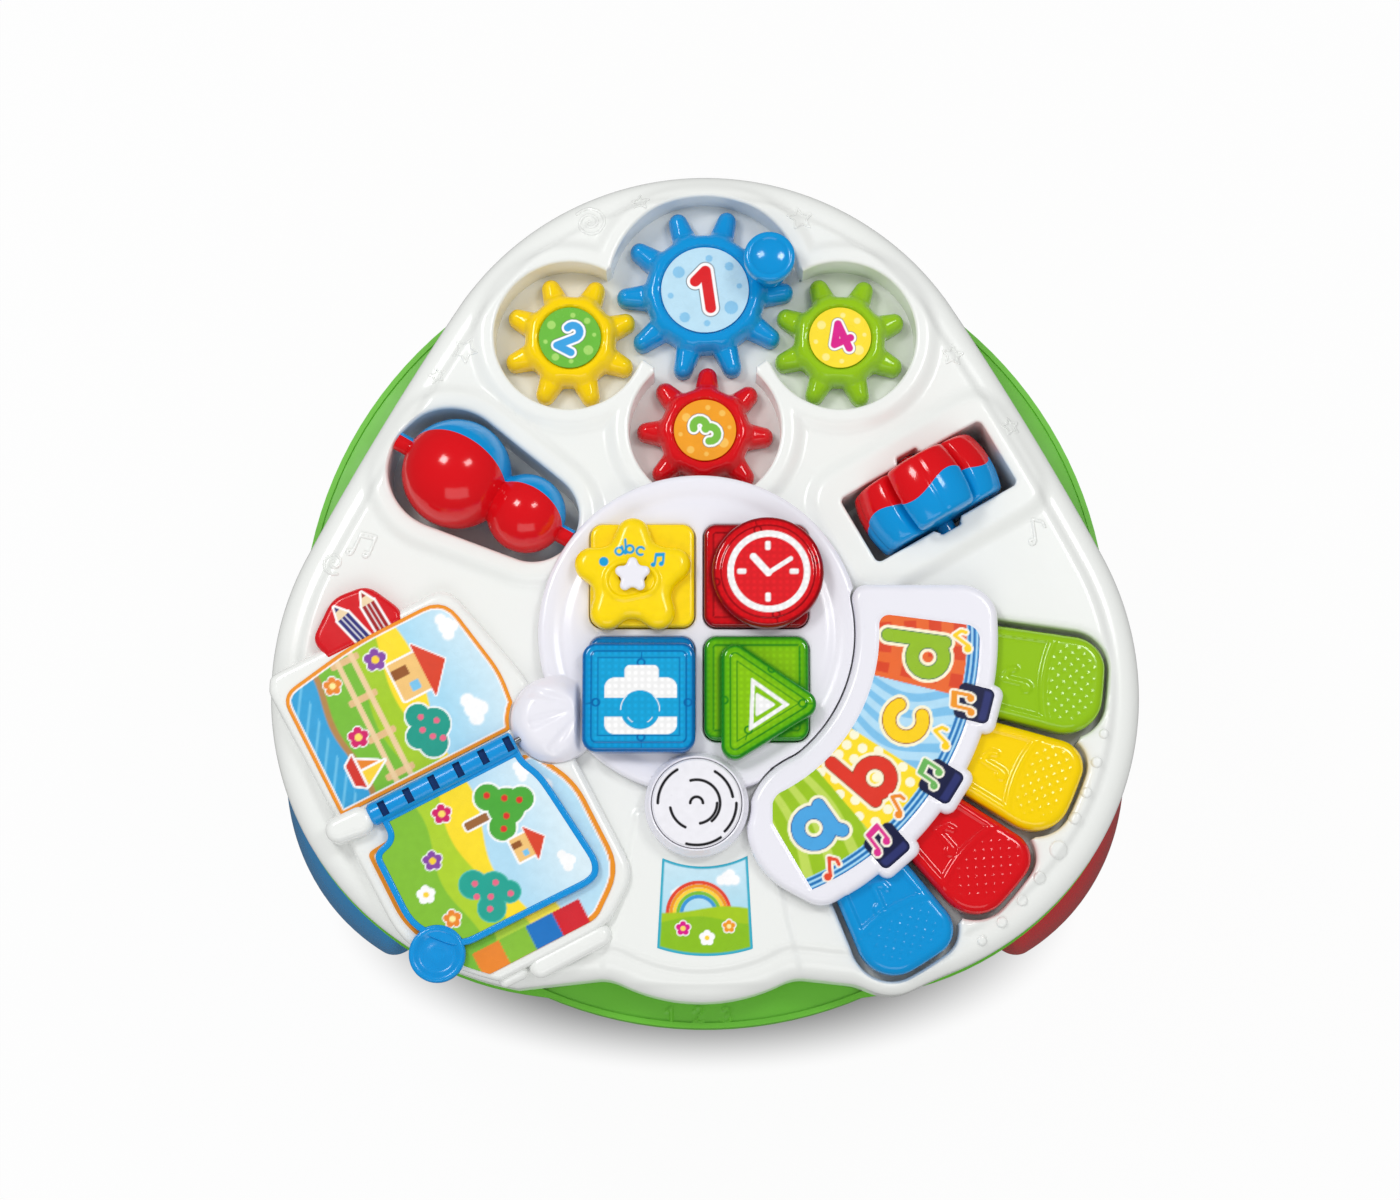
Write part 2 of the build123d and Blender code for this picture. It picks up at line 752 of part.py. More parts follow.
def gear_knob():
    """Crank knob, free to spin on the gear's pin, with a dished top."""
    low = knob_low_z()
    high = low + knob_height
    neck = disc((0.0, 0.0), knob_radius - 3.0, low, high)
    rim = bevel_top(disc((0.0, 0.0), knob_radius, high - 9.0, high), 1.6, high)
    knob = neck + rim
    bowl_radius = 22.0
    knob -= Pos(0, 0, high + bowl_radius - 2.6) * Sphere(bowl_radius)
    knob -= disc((0.0, 0.0), knob_pin_radius + bore_play, low - 1.0, low + 6.0 - seat_gap)
    knob -= disc((0.0, 0.0), knob_pin_radius + 1.2 + seat_gap, low + 6.0 - seat_gap, low + 8.0 + seat_gap)
    return at(knob_point()) * knob


def gear_disc(centre, root):
    """Round printed disc that snaps into the gear's recess."""
    return disc(centre, root - disc_margin - 0.15, disc_floor_z(), disc_floor_z() + disc_thickness)


def gear_screws():
    """Screws with wide heads that keep the gears on their posts."""
    screws = Part()
    for centre in [blue_centre] + list(gear_centres().values()):
        screws += disc(centre, screw_radius, post_top_z() - 8.0, post_top_z())
        screws += disc(centre, washer_radius, post_top_z(), post_top_z() + washer_height)
    return screws


# Double ball
def ball_place():
    return Location((ball_mid[0], ball_mid[1], ball_axis_z), (0, 0, ball_turn))


def ball_blank():
    low, high = ball_ends()
    body = Pos(-ball_spacing / 2, 0, 0) * Sphere(big_ball_radius)
    body += Pos(ball_spacing / 2, 0, 0) * Sphere(small_ball_radius)
    body += Pos((low + high) / 2, 0, 0) * Rot(0, 90, 0) * Cylinder(ball_stub_radius, high - low)
    return body - Rot(0, 90, 0) * Cylinder(pin_radius, 3 * (high - low))


def ball_half(upper):
    """One of the two shells, cut along the axle by a tilted joint face."""
    size = 4 * big_ball_radius
    keep = Rot(ball_split, 0, 0) * Pos(0, 0, (size / 2) * (1 if upper else -1)) * Box(2 * size, size, size)
    hollow = Pos(-ball_spacing / 2, 0, 0) * Sphere(big_ball_radius - wall)
    hollow += Pos(ball_spacing / 2, 0, 0) * Sphere(small_ball_radius - wall)
    sleeve = Rot(0, 90, 0) * Cylinder(ball_stub_radius, ball_spacing + 2 * big_ball_radius)
    return ball_place() * ((ball_blank() - (hollow - sleeve)) & keep)


def ball_axle():
    low, high = ball_ends()
    length = high - low + 2 * pin_seat
    return ball_place() * Pos((low + high) / 2, 0, 0) * Rot(0, 90, 0) * Cylinder(pin_radius, length)


# Flower roller
def roller_place():
    return Location((roller_mid[0], roller_mid[1], roller_axis_z), (0, 0, roller_turn + 90.0))


def roller_section():
    """Cross-section of the roller: a hub with four petals, each a pair of arcs that meet in a ridge."""
    drop = roller_petal_radius ** 2 - roller_petal_side ** 2
    pivot = roller_reach - math.sqrt(drop)
    face = Sketch() + Circle(roller_hub_radius)
    turn = math.radians(90.0 - roller_petal_half)
    reach = roller_petal_side * -math.cos(turn) + pivot * math.sin(turn)
    reach += math.sqrt(reach ** 2 + roller_petal_radius ** 2 - roller_petal_side ** 2 - pivot ** 2)
    corner = (reach * math.cos(turn), reach * math.sin(turn))
    middle = math.radians((math.degrees(math.atan2(corner[1] - pivot, corner[0] + roller_petal_side)) +
                           math.degrees(math.atan2(roller_reach - pivot, roller_petal_side))) / 2)
    bulge = (roller_petal_radius * math.cos(middle) - roller_petal_side, pivot + roller_petal_radius * math.sin(middle))
    foot = (roller_hub_radius * 0.6 * math.cos(turn), roller_hub_radius * 0.6 * math.sin(turn))
    petal = make_face(Wire([
        Line((-foot[0], foot[1]), (-corner[0], corner[1])),
        ThreePointArc((-corner[0], corner[1]), (-bulge[0], bulge[1]), (0.0, roller_reach)),
        ThreePointArc((0.0, roller_reach), bulge, corner), Line(corner, foot), Line(foot, (-foot[0], foot[1]))]))
    for index in range(roller_lobes):
        face += Rot(0, 0, 360.0 / roller_lobes * index) * petal
    return face


def roller_half(side):
    """Half of the roller: the petals are barrels that narrow towards their ends."""
    half = roller_width / 2
    low = roller_reach - roller_barrel
    arc = ThreePointArc((0.0, roller_reach), (half * 0.5, roller_reach - roller_barrel * 0.25), (half - 1.5, low))
    profile = make_face(Wire([arc, Line((half - 1.5, low), (half, low - 1.8)), Line((half, low - 1.8), (half, 0.0)),
                              Line((half, 0.0), (0.0, 0.0)), Line((0.0, 0.0), (0.0, roller_reach))]))
    barrel = revolve(profile, Axis.X)
    section = Rot(0, 0, 90) * roller_section()
    body = (Rot(0, 90, 0) * extrude(section, half)) & barrel
    stub = half + ball_stub_length
    body += Pos(stub / 2, 0, 0) * Rot(0, 90, 0) * Cylinder(ball_stub_radius, stub)
    body -= Rot(0, 90, 0) * Cylinder(pin_radius, 4 * roller_width)
    turn = Rot(0, 0, 0) if side > 0 else Rot(0, 0, 180)
    return roller_place() * turn * body


def roller_axle():
    length = roller_width + 2 * ball_stub_length + 2 * pin_seat
    return roller_place() * Rot(0, 90, 0) * Cylinder(pin_radius, length)


# Round cover with its lobes
def window_square(centre, size, low, high):
    corner = button_corner + (size - button_base) / 2
    return slab(at(centre) * RectangleRounded(size, size, corner), low, high)


def module_cover():
    low = deck_top_z
    cover = bevel_top(disc(cover_centre, cover_radius, low, cover_top_z), 3.0, cover_top_z)
    cover += bevel_top(disc(scallop_centre, scallop_radius, low, cover_top_z + 6.0), 3.0, cover_top_z + 6.0)
    cover += bevel_top(disc(speaker_centre, speaker_radius, low, cover_top_z + 6.0), 3.0, cover_top_z + 6.0)
    cover -= disc(cover_centre, cover_cavity, low - 1.0, cover_top_z - cover_plate)
    cover -= disc(speaker_centre, grille_radius + 0.2, cover_top_z + 3.0, cover_top_z + 8.0)
    cover -= disc(speaker_centre, cone_radius + 0.2, cover_top_z - 1.0, cover_top_z + 4.0)
    cover -= disc(speaker_centre, cone_radius - 1.5, low - 1.0, cover_top_z)
    for centre in button_centres().values():
        cover -= window_square(centre, button_base + 2 * play, low, cover_top_z + 1.0)
    cover -= slab(panel_face(seat_gap + 0.3), low - 1.0, cover_top_z + 8.0)
    cover -= slab(tongue_face(seat_gap), low - 1.0, deck_top_z + 1.5)
    for point in cover_bosses():
        cover += disc(point, 3.0, board_z + board_thickness, cover_top_z - 1.0)
    camera = at(cap_point("camera")) * cap_shapes()["camera"][0]
    cover -= slab(offset(camera, 0.6, kind=Kind.ARC), cover_top_z, cover_top_z + 8.0)
    low, high = ball_ends()
    groove = Pos(high + pin_seat, 0, 0) * Rot(0, 90, 0) * Cylinder(pin_radius + seat_gap, 4 * pin_seat)
    return cover - hinge_bore() - ball_place() * groove


def hinge_bore():
    """The hinge pin of the book ends in the scalloped lobe."""
    length = hinge_length()
    middle = (hinge_left + hinge_right) / 2
    return book_place(leaf_axis_z) * Pos(middle, 0, 0) * Rot(0, 90, 0) * Cylinder(hinge_pin_radius, length)


def hinge_length():
    return hinge_right - hinge_left + 12.0


def cover_bosses():
    return [polar(boss_orbit, turn, cover_centre) for turn in (0.0, 90.0, 180.0, 270.0)]


def speaker_grille():
    """Domed grille with the slots of a swirl."""
    top = cover_top_z + 7.0
    grille = bevel_top(disc(speaker_centre, grille_radius, cover_top_z + 3.0, top), 1.5, top)
    for radius, start, span in grille_slots():
        slot = sector_face(speaker_centre, radius - 0.5, radius + 0.5, start, start - span)
        grille -= slab(slot, cover_top_z, top + 1.0)
    return grille


def grille_slots():
    """Radius, first direction and sweep of each arc of the swirl."""
    return [(3.2, 200.0, 200.0), (10.5, 100.0, 110.0), (12.5, 245.0, 75.0), (18.0, 178.0, 60.0),
            (18.0, 55.0, 55.0), (18.0, -5.0, 45.0), (18.0, -62.0, 50.0)]


def speaker_driver():
    """Loudspeaker under the grille: frame, cone and magnet."""
    top = cover_top_z + 3.0
    body = disc(speaker_centre, cone_radius, top - 4.0, top)
    body += at(speaker_centre, top - 7.5) * Cone(9.0, cone_radius - 2.0, 7.0)
    body += disc(speaker_centre, 9.0, top - 18.0, top - 10.0)
    return body


def circuit_board():
    board = disc(cover_centre, board_radius, board_z, board_z + board_thickness)
    for point in cover_bosses():
        board -= disc(point, screw_radius + 0.2, board_z - 1.0, board_z + board_thickness + 1.0)
    chip = Pos(cover_centre[0], cover_centre[1], board_z + board_thickness + 1.0) * Box(4.0, 14.0, 2.4)
    return board + chip


def board_posts():
    posts = Part()
    for turn in (45.0, 135.0, 225.0, 315.0):
        posts += disc(polar(50.0, turn, cover_centre), 3.5, bay_floor_z - 0.5, board_z)
    return posts


def button_leds():
    """One lamp beside the switch of each see-through button."""
    lamps = Part()
    for name, centre in button_centres().items():
        if name == "star":
            continue
        for side in (-11.0, 11.0):
            base = board_z + board_thickness
            lamps += bevel_top(disc((centre[0] + side, centre[1]), 2.4, base, base + 5.0), 1.0, base + 5.0)
    return lamps


def dome(point, radius, low, high):
    """Rubber switch dome with a flat crown."""
    middle = (low + high) / 2
    return at(point, middle) * Cone(radius, radius * 0.6, high - low)


# Push buttons
def star_face(grow=0.0):
    """Plump five-pointed star."""
    tip, valley = 37.5 + grow, 16.7 + grow
    points = []
    for index in range(5):
        points.append(polar(tip, 90.0 + 72.0 * index))
        points.append(polar(valley, 126.0 + 72.0 * index))
    face = make_face(Polyline(points, close=True))
    return fillet(face.vertices(), 5.0)


def triangle_face(grow=0.0):
    face = make_face(Polyline([(-10.3, 21.0), (21.9, -1.1), (-10.3, -21.0)], close=True))
    return offset(face, 6.7 + grow, kind=Kind.ARC)


def cap_shapes():
    """Face of each cap and how far it sits from the middle of its base."""
    return {"star": (star_face(), (-4.5, -1.6)), "clock": (Circle(27.0), (5.6, 0.6)),
            "camera": (RectangleRounded(54.3, 52.8, 6.0), (-1.4, -5.2)),
            "triangle": (triangle_face(), (0.0, -7.4))}


def cap_point(name):
    base = button_centres()[name]
    shift = cap_shapes()[name][1]
    return (base[0] + shift[0], base[1] + shift[1])


def push_button(name):
    """Hollow button: a square base that slides in its window, and a shaped cap on top."""
    face = cap_shapes()[name][0]
    base = button_centres()[name]
    dome_top = board_z + board_thickness + dome_height
    skirt = button_skirt_z
    cap_top = button_base_z + button_cap
    body = window_square(base, button_base, skirt, button_base_z)
    body += window_square(base, button_base + 2 * button_flange, skirt, skirt + 1.6)
    cap = bevel_top(slab(face, button_base_z - 0.4, cap_top), 1.8, cap_top)
    body += at(cap_point(name)) * cap
    body -= window_square(base, button_base - 2 * button_wall, skirt - 1.0, button_base_z - button_wall)
    body += disc(base, 4.0, dome_top + seat_gap, button_base_z - 1.0)
    if name == "star":
        point = cap_point(name)
        rim = slab(at(point) * SlotCenterToCenter(2 * switch_travel, 17.0), cap_top - 1.0, cap_top + 1.2)
        body += bevel_top(rim, 0.8, cap_top + 1.2)
        slot = at(point) * SlotCenterToCenter(2 * switch_travel, 6.0)
        body -= slab(slot, button_base_z, cap_top + 2.0)
    return body


def mode_slider():
    """White star-shaped slider in the slot of the star button."""
    top = button_base_z + button_cap + 1.2
    point = cap_point("star")
    points = []
    for index in range(5):
        points.append(polar(8.6, 90.0 + 72.0 * index))
        points.append(polar(5.4, 126.0 + 72.0 * index))
    face = fillet(make_face(Polyline(points, close=True)).vertices(), 1.8)
    body = bevel_top(slab(face, top + seat_gap, top + 3.2), 0.6, top + 3.2)
    body += slab(Circle(2.7), button_base_z + 1.0 + seat_gap, top + 1.0)
    return at(point) * body


# Letter panel
def panel_line_point(radius, direction, offset_side):
    """Where a line beside the given direction meets a circle about the cover's centre."""
    swing = math.degrees(math.asin(panel_offset / radius)) * offset_side
    return polar(radius, direction + swing, cover_centre)


def panel_face(grow=0.0):
    """Curved panel with a round lower end and three square bumps on its outer edge."""
    outer = panel_outer
    start_out = panel_line_point(outer, panel_start, 1.0)
    start_in = panel_line_point(panel_inner, panel_start, 1.0)
    end_out = polar(outer, panel_end, cover_centre)
    end_in = polar(panel_inner, panel_end, cover_centre)
    middle = (panel_start + panel_end) / 2
    face = make_face(Wire([
        ThreePointArc(start_out, polar(outer, middle, cover_centre), end_out), Line(end_out, end_in),
        ThreePointArc(end_in, polar(panel_inner, middle, cover_centre), start_in), Line(start_in, start_out)]))
    top = face.vertices().sort_by(Axis.Y)[2:].sort_by(Axis.X)
    face = fillet(top[1], 16.0)
    top = face.vertices().sort_by(Axis.X)
    face = fillet([v for v in top if math.dist((v.X, v.Y), start_in) < 0.1], 9.0)
    rounds = Sketch() + at(panel_cap) * Circle(panel_cap_radius) + at(panel_corner) * Circle(panel_corner_radius)
    face += make_hull(rounds.edges())
    for turn in bump_angles:
        bump = RectangleRounded(bump_size, bump_size, 3.4)
        centre = polar(bump_reach - bump_size / 2, turn, cover_centre)
        face += Location((*centre, 0), (0, 0, turn)) * bump
    face -= at(speaker_centre) * Circle(speaker_radius + 3 * seat_gap)
    face = offset(offset(face, -3.0, kind=Kind.ARC), 3.0, kind=Kind.ARC)
    return offset(face, grow, kind=Kind.ARC) if grow else face


def letter_panel():
    low = deck_top_z
    panel = bevel_top(slab(panel_face(), panel_under_z, panel_top_z), 1.6, panel_top_z)
    inner = panel_face() & (at(fan_centre) * Circle(key_inner - 2.0))
    inner -= at(cover_centre) * Circle(cover_cavity + 1.0)
    panel += slab(inner, low, panel_under_z)
    triangle = button_centres()["triangle"]
    panel -= window_square(triangle, button_base + 4 * play, panel_under_z - 1.0, panel_top_z + 1.0)
    return panel - slab(tongue_face(seat_gap), low - 1.0, deck_top_z + 1.5 + seat_gap)


# Piano keys
def key_reach(index):
    return key_outer - key_shorten * index


def key_face(index, inner, extra, gap):
    """Outline of a key; extra lengthens it and gap narrows it on both sides."""
    reach = key_reach(index) + extra
    half = abs(key_step) / 2 - math.degrees(gap / reach)
    start = key_angle(index) + half
    if index == 0:
        start += 15.0
    face = sector_face(fan_centre, inner, reach, start, key_angle(index) - half)
    if index == 0:
        size = 2 * reach
        keep = Location((*fan_centre, 0), (0, 0, first_key_lean)) * Pos(reach, first_key_edge - gap - size / 2)
        face = face & (keep * Rectangle(size, size))
    for side, corner in zip((1.0, -1.0), key_corners):
        far = [v for v in face.vertices() if math.dist((v.X, v.Y), fan_centre) > reach - 1.0]
        far.sort(key=lambda v: side * math.atan2(v.Y - fan_centre[1], v.X - fan_centre[0]))
        face = fillet(far[-1], corner + extra)
    return face


def piano_key(index):
    """Hollow key hinged at its inner end, with a sunken panel and a round outer pad."""
    face = key_face(index, key_inner, 0.0, key_gap)
    body = bevel_top(slab(face, key_skirt_z, key_top_z), 2.2, key_top_z)
    inner = key_face(index, key_inner + wall, -wall, key_gap + wall)
    body -= slab(inner, key_skirt_z - 1.0, key_top_z - wall)
    place = Location((*fan_centre, 0), (0, 0, key_angle(index)))
    pad_half = key_half_width(140.0) - 6.0
    panel = Pos(142.0, 0, 0) * RectangleRounded(26.0, 2 * pad_half, 3.0)
    body -= place * slab(panel, key_top_z - 1.0, key_top_z + 1.0)
    hub_half = key_half_width(key_pivot) - 5.0 - 1.5 - seat_gap
    hub = Pos(key_pivot, 0, key_pin_z()) * Rot(90, 0, 0) * Cylinder(3.4, 2 * hub_half)
    web = Pos(key_pivot, 0, (key_pin_z() + key_top_z - 1.0) / 2) * Box(
        4.0, 2 * hub_half, key_top_z - 1.0 - key_pin_z())
    body += place * (hub + web)
    plunger = disc((key_dome_orbit, 0.0), 3.5, key_skirt_z + seat_gap, key_top_z - 1.5)
    body += place * plunger
    bore = Pos(key_pivot, 0, key_pin_z()) * Rot(90, 0, 0) * Cylinder(key_pin_radius + bore_play, 60.0)
    body -= place * bore
    return body


def key_dome_point(index):
    return polar(key_dome_orbit, key_angle(index), fan_centre)


def key_pins():
    pins = Part()
    for index in range(key_count):
        place = Location((*fan_centre, 0), (0, 0, key_angle(index)))
        half = key_half_width(key_pivot) - 3.4
        pins += place * Pos(key_pivot, 0, key_pin_z()) * Rot(90, 0, 0) * Cylinder(key_pin_radius, 2 * half)
    return pins


def rim_beads():
    """Row of low beads on the deck outside the keys, a larger one in the middle."""
    beads = Part()
    for index in range(border_beads):
        place = index - (border_beads - 1) / 2
        turn = bead_middle - bead_step * place - math.copysign(0.6, place)
        radius = middle_bead_radius if place == 0 else bead_radius
        point = polar(bead_orbit, turn, fan_centre)
        high = deck_top_z + 0.45 * radius
        beads += bevel_top(disc(point, radius, deck_step_z - 2.0, high), 0.42 * radius, high)
    return beads - slab(basin_face(), basin_floor_z, ridge_top_z)


# Book
def book_base():
    """Raised block under the pages, with the hinge bosses at both ends of the spine."""
    base = slab(book_base_face(), deck_top_z - 3.0, book_top_z - page_sheet)
    base = bevel_top(base, 0.8, book_top_z - page_sheet)
    middle = (hinge_left + hinge_right) / 2
    gutter = Box(hinge_right - hinge_left + 1.6, 2 * hinge_radius + 2.4, 40.0)
    base -= book_place(leaf_axis_z - hinge_radius - 0.6 + 20.0) * Pos(middle, 0, 0) * gutter
    low, high = deck_top_z - 1.0, leaf_axis_z
    reach = hinge_left - 0.8 - 3.2
    ear = Pos(reach, 0, (low - high) / 2) * Box(6.4, 2 * boss_radius - 3.0, high - low)
    ear += Pos(reach, 0, 0) * Rot(0, 90, 0) * Cylinder(boss_radius - 1.5, 6.4)
    base += book_place(leaf_axis_z) * ear
    base -= hinge_bore()
    base -= slab(deck_outline(-plateau_inset), deck_top_z - 10.0, deck_top_z)
    base -= slab(cover_lobes(seat_gap), deck_top_z - 5.0, cover_top_z + 10.0)
    return base - slab(tongue_face(seat_gap), deck_top_z - 5.0, cover_top_z + 10.0)


def cover_lobes(grow):
    face = at(cover_centre) * Circle(cover_radius + grow)
    face += at(scallop_centre) * Circle(scallop_radius + grow)
    face += at(speaker_centre) * Circle(speaker_radius + grow)
    return face


def page_face(side):
    """Printed sheet above or below the hinge."""
    if side > 0:
        points = [(page_left, page_near), (page_left, page_far - 7.0), (-10.0, page_far), (page_right - 8.0, page_far),
                  (page_right, 34.0), (page_right - 3.0, page_near)]
    else:
        points = [(base_left, -page_near - 8.0), (base_left, -52.0), (-33.0, base_far), (33.0, base_far),
                  (base_right, base_far + 16.0), (base_right, -30.0), (base_right - 12.0, -page_near)]
    face = fillet(make_face(Polyline(points, close=True)).vertices(), 3.0)
    placed = book_place() * face
    clear = cover_lobes(1.0)
    return (placed & deck_outline(-3.5)) - clear


def page_sheet_part(side):
    return slab(page_face(side), book_top_z - page_sheet, book_top_z)


def leaf_face():
    points = [(leaf_left + 11.0, -5.0), (leaf_left + 11.0, -14.0), (leaf_left, -17.0), (leaf_left, -57.0),
              (-31.0, leaf_far + 1.0), (leaf_right - 5.0, leaf_far), (leaf_right, -70.0), (leaf_right - 4.0, -30.0),
              (leaf_right - 5.5, -19.0), (leaf_right - 9.9, -10.0), (leaf_right - 9.9, -5.0)]
    face = make_face(Polyline(points, close=True))
    return fillet(face.vertices(), 1.8)


def book_leaf():
    """Turning leaf: framed sheet, slotted hinge bar and a round finger tab."""
    half = leaf_thickness / 2
    sheet = extrude(Plane.XY.offset(-half) * leaf_face(), leaf_thickness)
    for low in (-half, half - print_depth):
        sheet -= extrude(Plane.XY.offset(low) * leaf_print_face(), print_depth)
    middle = (hinge_left + hinge_right) / 2
    bar = Pos(middle, 0, 0) * Rot(0, 90, 0) * Cylinder(hinge_radius, hinge_right - hinge_left)
    leaf = sheet + bar
    for index in range(6):
        slot = (index - 2.5) * 13.4
        leaf -= Pos(slot, 0, hinge_radius) * Box(3.6, 7.0, 5.0)
    leaf -= Pos(middle, 0, 0) * Rot(0, 90, 0) * Cylinder(hinge_pin_radius + bore_play, 2 * hinge_length())
    tab = Pos(tab_centre[0], tab_centre[1], 0) * Cylinder(tab_radius, leaf_thickness + 0.6)
    dish = Pos(tab_centre[0], tab_centre[1], leaf_thickness) * Cylinder(tab_radius - 3.0, leaf_thickness)
    leaf += tab
    leaf -= dish
    return book_place(leaf_axis_z) * leaf


def leaf_print_face():
    """Printed area inside the leaf's frame."""
    inner = offset(leaf_face(), -3.2, kind=Kind.ARC)
    inner &= Pos(0, -hinge_radius - 1.2 - 50.0) * Rectangle(200.0, 100.0)
    return inner - Pos(tab_centre[0], tab_centre[1]) * Circle(tab_radius + 1.0)


def leaf_prints():
    """Printed sheets on both sides of the leaf."""
    half = leaf_thickness / 2
    prints = extrude(Plane.XY.offset(-half + 0.1) * leaf_print_face(), print_depth - 0.1)
    prints += extrude(Plane.XY.offset(half - print_depth) * leaf_print_face(), print_depth - 0.1)
    return book_place(leaf_axis_z) * prints


def book_pin():
    return hinge_bore()


def red_tab():
    """Red tongue that looks out from behind the fixed page."""
    points = [(-24.0, page_far + 2.0), (-26.0, page_far + 12.0), (-8.0, page_far + 24.0), (8.0, page_far + 22.0),
              (16.0, page_far + 2.0)]
    face = fillet(make_face(Polyline(points, close=True)).vertices(), 4.0)
    body = bevel_top(slab(face, deck_top_z - 3.0, book_top_z + 0.5), 1.2, book_top_z + 0.5)
    body = (book_place() * body) & slab(deck_outline(-2.0), deck_top_z - 5.0, book_top_z + 1.0)
    body -= slab(deck_outline(-plateau_inset), deck_top_z - 10.0, deck_top_z)
    return body - slab(book_base_face(), deck_top_z - 5.0, book_top_z + 1.0)


# Build every sub-part and write it
def sub_parts():
    places = gear_centres()
    phases = gear_phases()
    deck = top_deck() + deck_screw_bosses(boss_outer, deck_step_z - 1.0) + board_posts()
    deck += rim_beads()
    deck -= deck_screw_bosses(screw_radius, seam_z + 12.0)
    parts = {"top_deck": deck, "bottom_tray": bottom_tray(), "case_screws": case_screws(),
             "battery_door": battery_door(), "door_screw": door_screw(), "batteries": batteries(),
             "battery_contacts": battery_contacts(), "foot_pads": foot_pads(),
             "leg_back": leg(leg_angles[0]), "leg_left": leg(leg_angles[1]), "leg_right": leg(leg_angles[2]),
             "gear_blue": gear_blue(), "gear_knob": gear_knob(),
             "gear_disc_blue": gear_disc(blue_centre, blue_root), "gear_screws": gear_screws(),
             "ball_half_red": ball_half(True), "ball_half_blue": ball_half(False), "ball_axle": ball_axle(),
             "roller_half_red": roller_half(1), "roller_half_blue": roller_half(-1),
             "roller_axle": roller_axle(), "module_cover": module_cover(),
             "speaker_grille": speaker_grille(), "speaker_driver": speaker_driver(),
             "circuit_board": circuit_board(), "button_leds": button_leds(), "mode_slider": mode_slider(),
             "letter_panel": letter_panel(), "key_pins": key_pins(), "book_base": book_base(),
             "upper_page": page_sheet_part(1), "lower_page": page_sheet_part(-1), "book_leaf": book_leaf(),
             "leaf_prints": leaf_prints(), "book_pin": book_pin(), "red_tab": red_tab()}
    for name, centre in places.items():
        parts["gear_" + name] = gear(centre, small_teeth, small_tip, small_root, phases[name])
        parts["gear_disc_" + name] = gear_disc(centre, small_root)
    for name, centre in button_centres().items():
        parts["button_" + name] = push_button(name)
        board = board_z + board_thickness
        parts["dome_" + name] = dome(centre, dome_radius, board, board + dome_height)
    for index, colour in enumerate(["green", "yellow", "red", "blue"]):
        parts["key_" + colour] = piano_key(index)
        parts["key_dome_" + colour] = dome(key_dome_point(index), key_dome_radius, basin_floor_z, key_skirt_z)
    return parts


def main():
    parts = sub_parts()
    box = Compound(children=list(parts.values())).bounding_box()
    shift = Pos(0, -(box.min.Y + box.max.Y) / 2, -box.min.Z)
    print("shift", shift.position, "size", box.size)
    for name, part in parts.items():
        solids = (shift * part).solids()
        export_step(Compound(children=list(solids)), f"parts/{name}.step")


if __name__ == "__main__":
    main()
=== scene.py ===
# %% [markdown]
# # A toddler's activity table
# The real table is a white deck on a round green tray and three curved legs, all injection moulded.
# Toys stand in the deck: a train of finger gears, a tumbling double ball, a lobed roller, push
# buttons, piano keys and a small book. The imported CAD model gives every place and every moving
# body, and this script dresses it with smooth surfaces and finishes. Places are millimetres in the
# deck's own drawing, and the blue gear's disc tells how far the frame has moved that drawing.

# %% Load the frame
import json
import math
import bpy
import numpy as np
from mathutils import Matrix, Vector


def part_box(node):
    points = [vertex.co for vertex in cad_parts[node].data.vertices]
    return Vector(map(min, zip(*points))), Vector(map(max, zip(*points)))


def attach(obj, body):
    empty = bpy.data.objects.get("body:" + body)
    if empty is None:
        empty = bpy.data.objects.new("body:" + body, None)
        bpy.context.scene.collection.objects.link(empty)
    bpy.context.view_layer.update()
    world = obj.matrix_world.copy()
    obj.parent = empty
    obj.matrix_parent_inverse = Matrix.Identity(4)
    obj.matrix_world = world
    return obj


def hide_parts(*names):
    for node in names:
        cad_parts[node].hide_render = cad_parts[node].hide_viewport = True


BLUE_GEAR_Y = 161.5
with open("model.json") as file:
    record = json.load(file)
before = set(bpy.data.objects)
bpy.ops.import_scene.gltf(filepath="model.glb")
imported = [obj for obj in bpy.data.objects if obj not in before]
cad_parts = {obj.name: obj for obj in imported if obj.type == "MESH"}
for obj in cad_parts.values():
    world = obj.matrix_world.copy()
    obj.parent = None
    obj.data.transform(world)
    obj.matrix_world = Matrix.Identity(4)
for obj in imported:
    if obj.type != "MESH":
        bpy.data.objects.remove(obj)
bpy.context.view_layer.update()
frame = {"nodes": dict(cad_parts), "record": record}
disc_low, disc_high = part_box("gear_disc_blue")
deck_shift = (disc_low.y + disc_high.y) / 2 - 0.001 * BLUE_GEAR_Y

# %% [markdown]
# ## Camera
# The photograph looks down at the deck from a little in front of it. A camera 1.6 m away on a long
# lens gives that flat view. The angle, the lens and a tiny shift were worked out from the round
# gears, which show where straight down is, and from the width of the deck.

# %% Camera
ELEVATION = math.radians(80.5)
DISTANCE = 1.6
TARGET = np.array([0.0, 0.005 + deck_shift, 0.320])
camera_data = bpy.data.cameras.new("camera")
camera_data.lens = 83.96
camera_data.sensor_width = 36.0
camera_data.shift_x = -5.0 / 1400.0
camera_data.shift_y = 5.0 / 1400.0
camera = bpy.data.objects.new("camera", camera_data)
bpy.context.scene.collection.objects.link(camera)
camera.location = TARGET + DISTANCE * np.array([0.0, -math.cos(ELEVATION), math.sin(ELEVATION)])
camera.rotation_euler = (math.pi / 2 - ELEVATION, 0.0, 0.0)
bpy.context.scene.camera = camera
bpy.context.scene.view_settings.view_transform = "Standard"
print("camera at", [round(value, 3) for value in camera.location])

# %% [markdown]
# ## Colours and nodes
# Colours are written as the hex values that a paint program shows. Blender counts in linear light,
# so one function converts them. One more function adds a shader node with its inputs, which keeps
# every material below short.


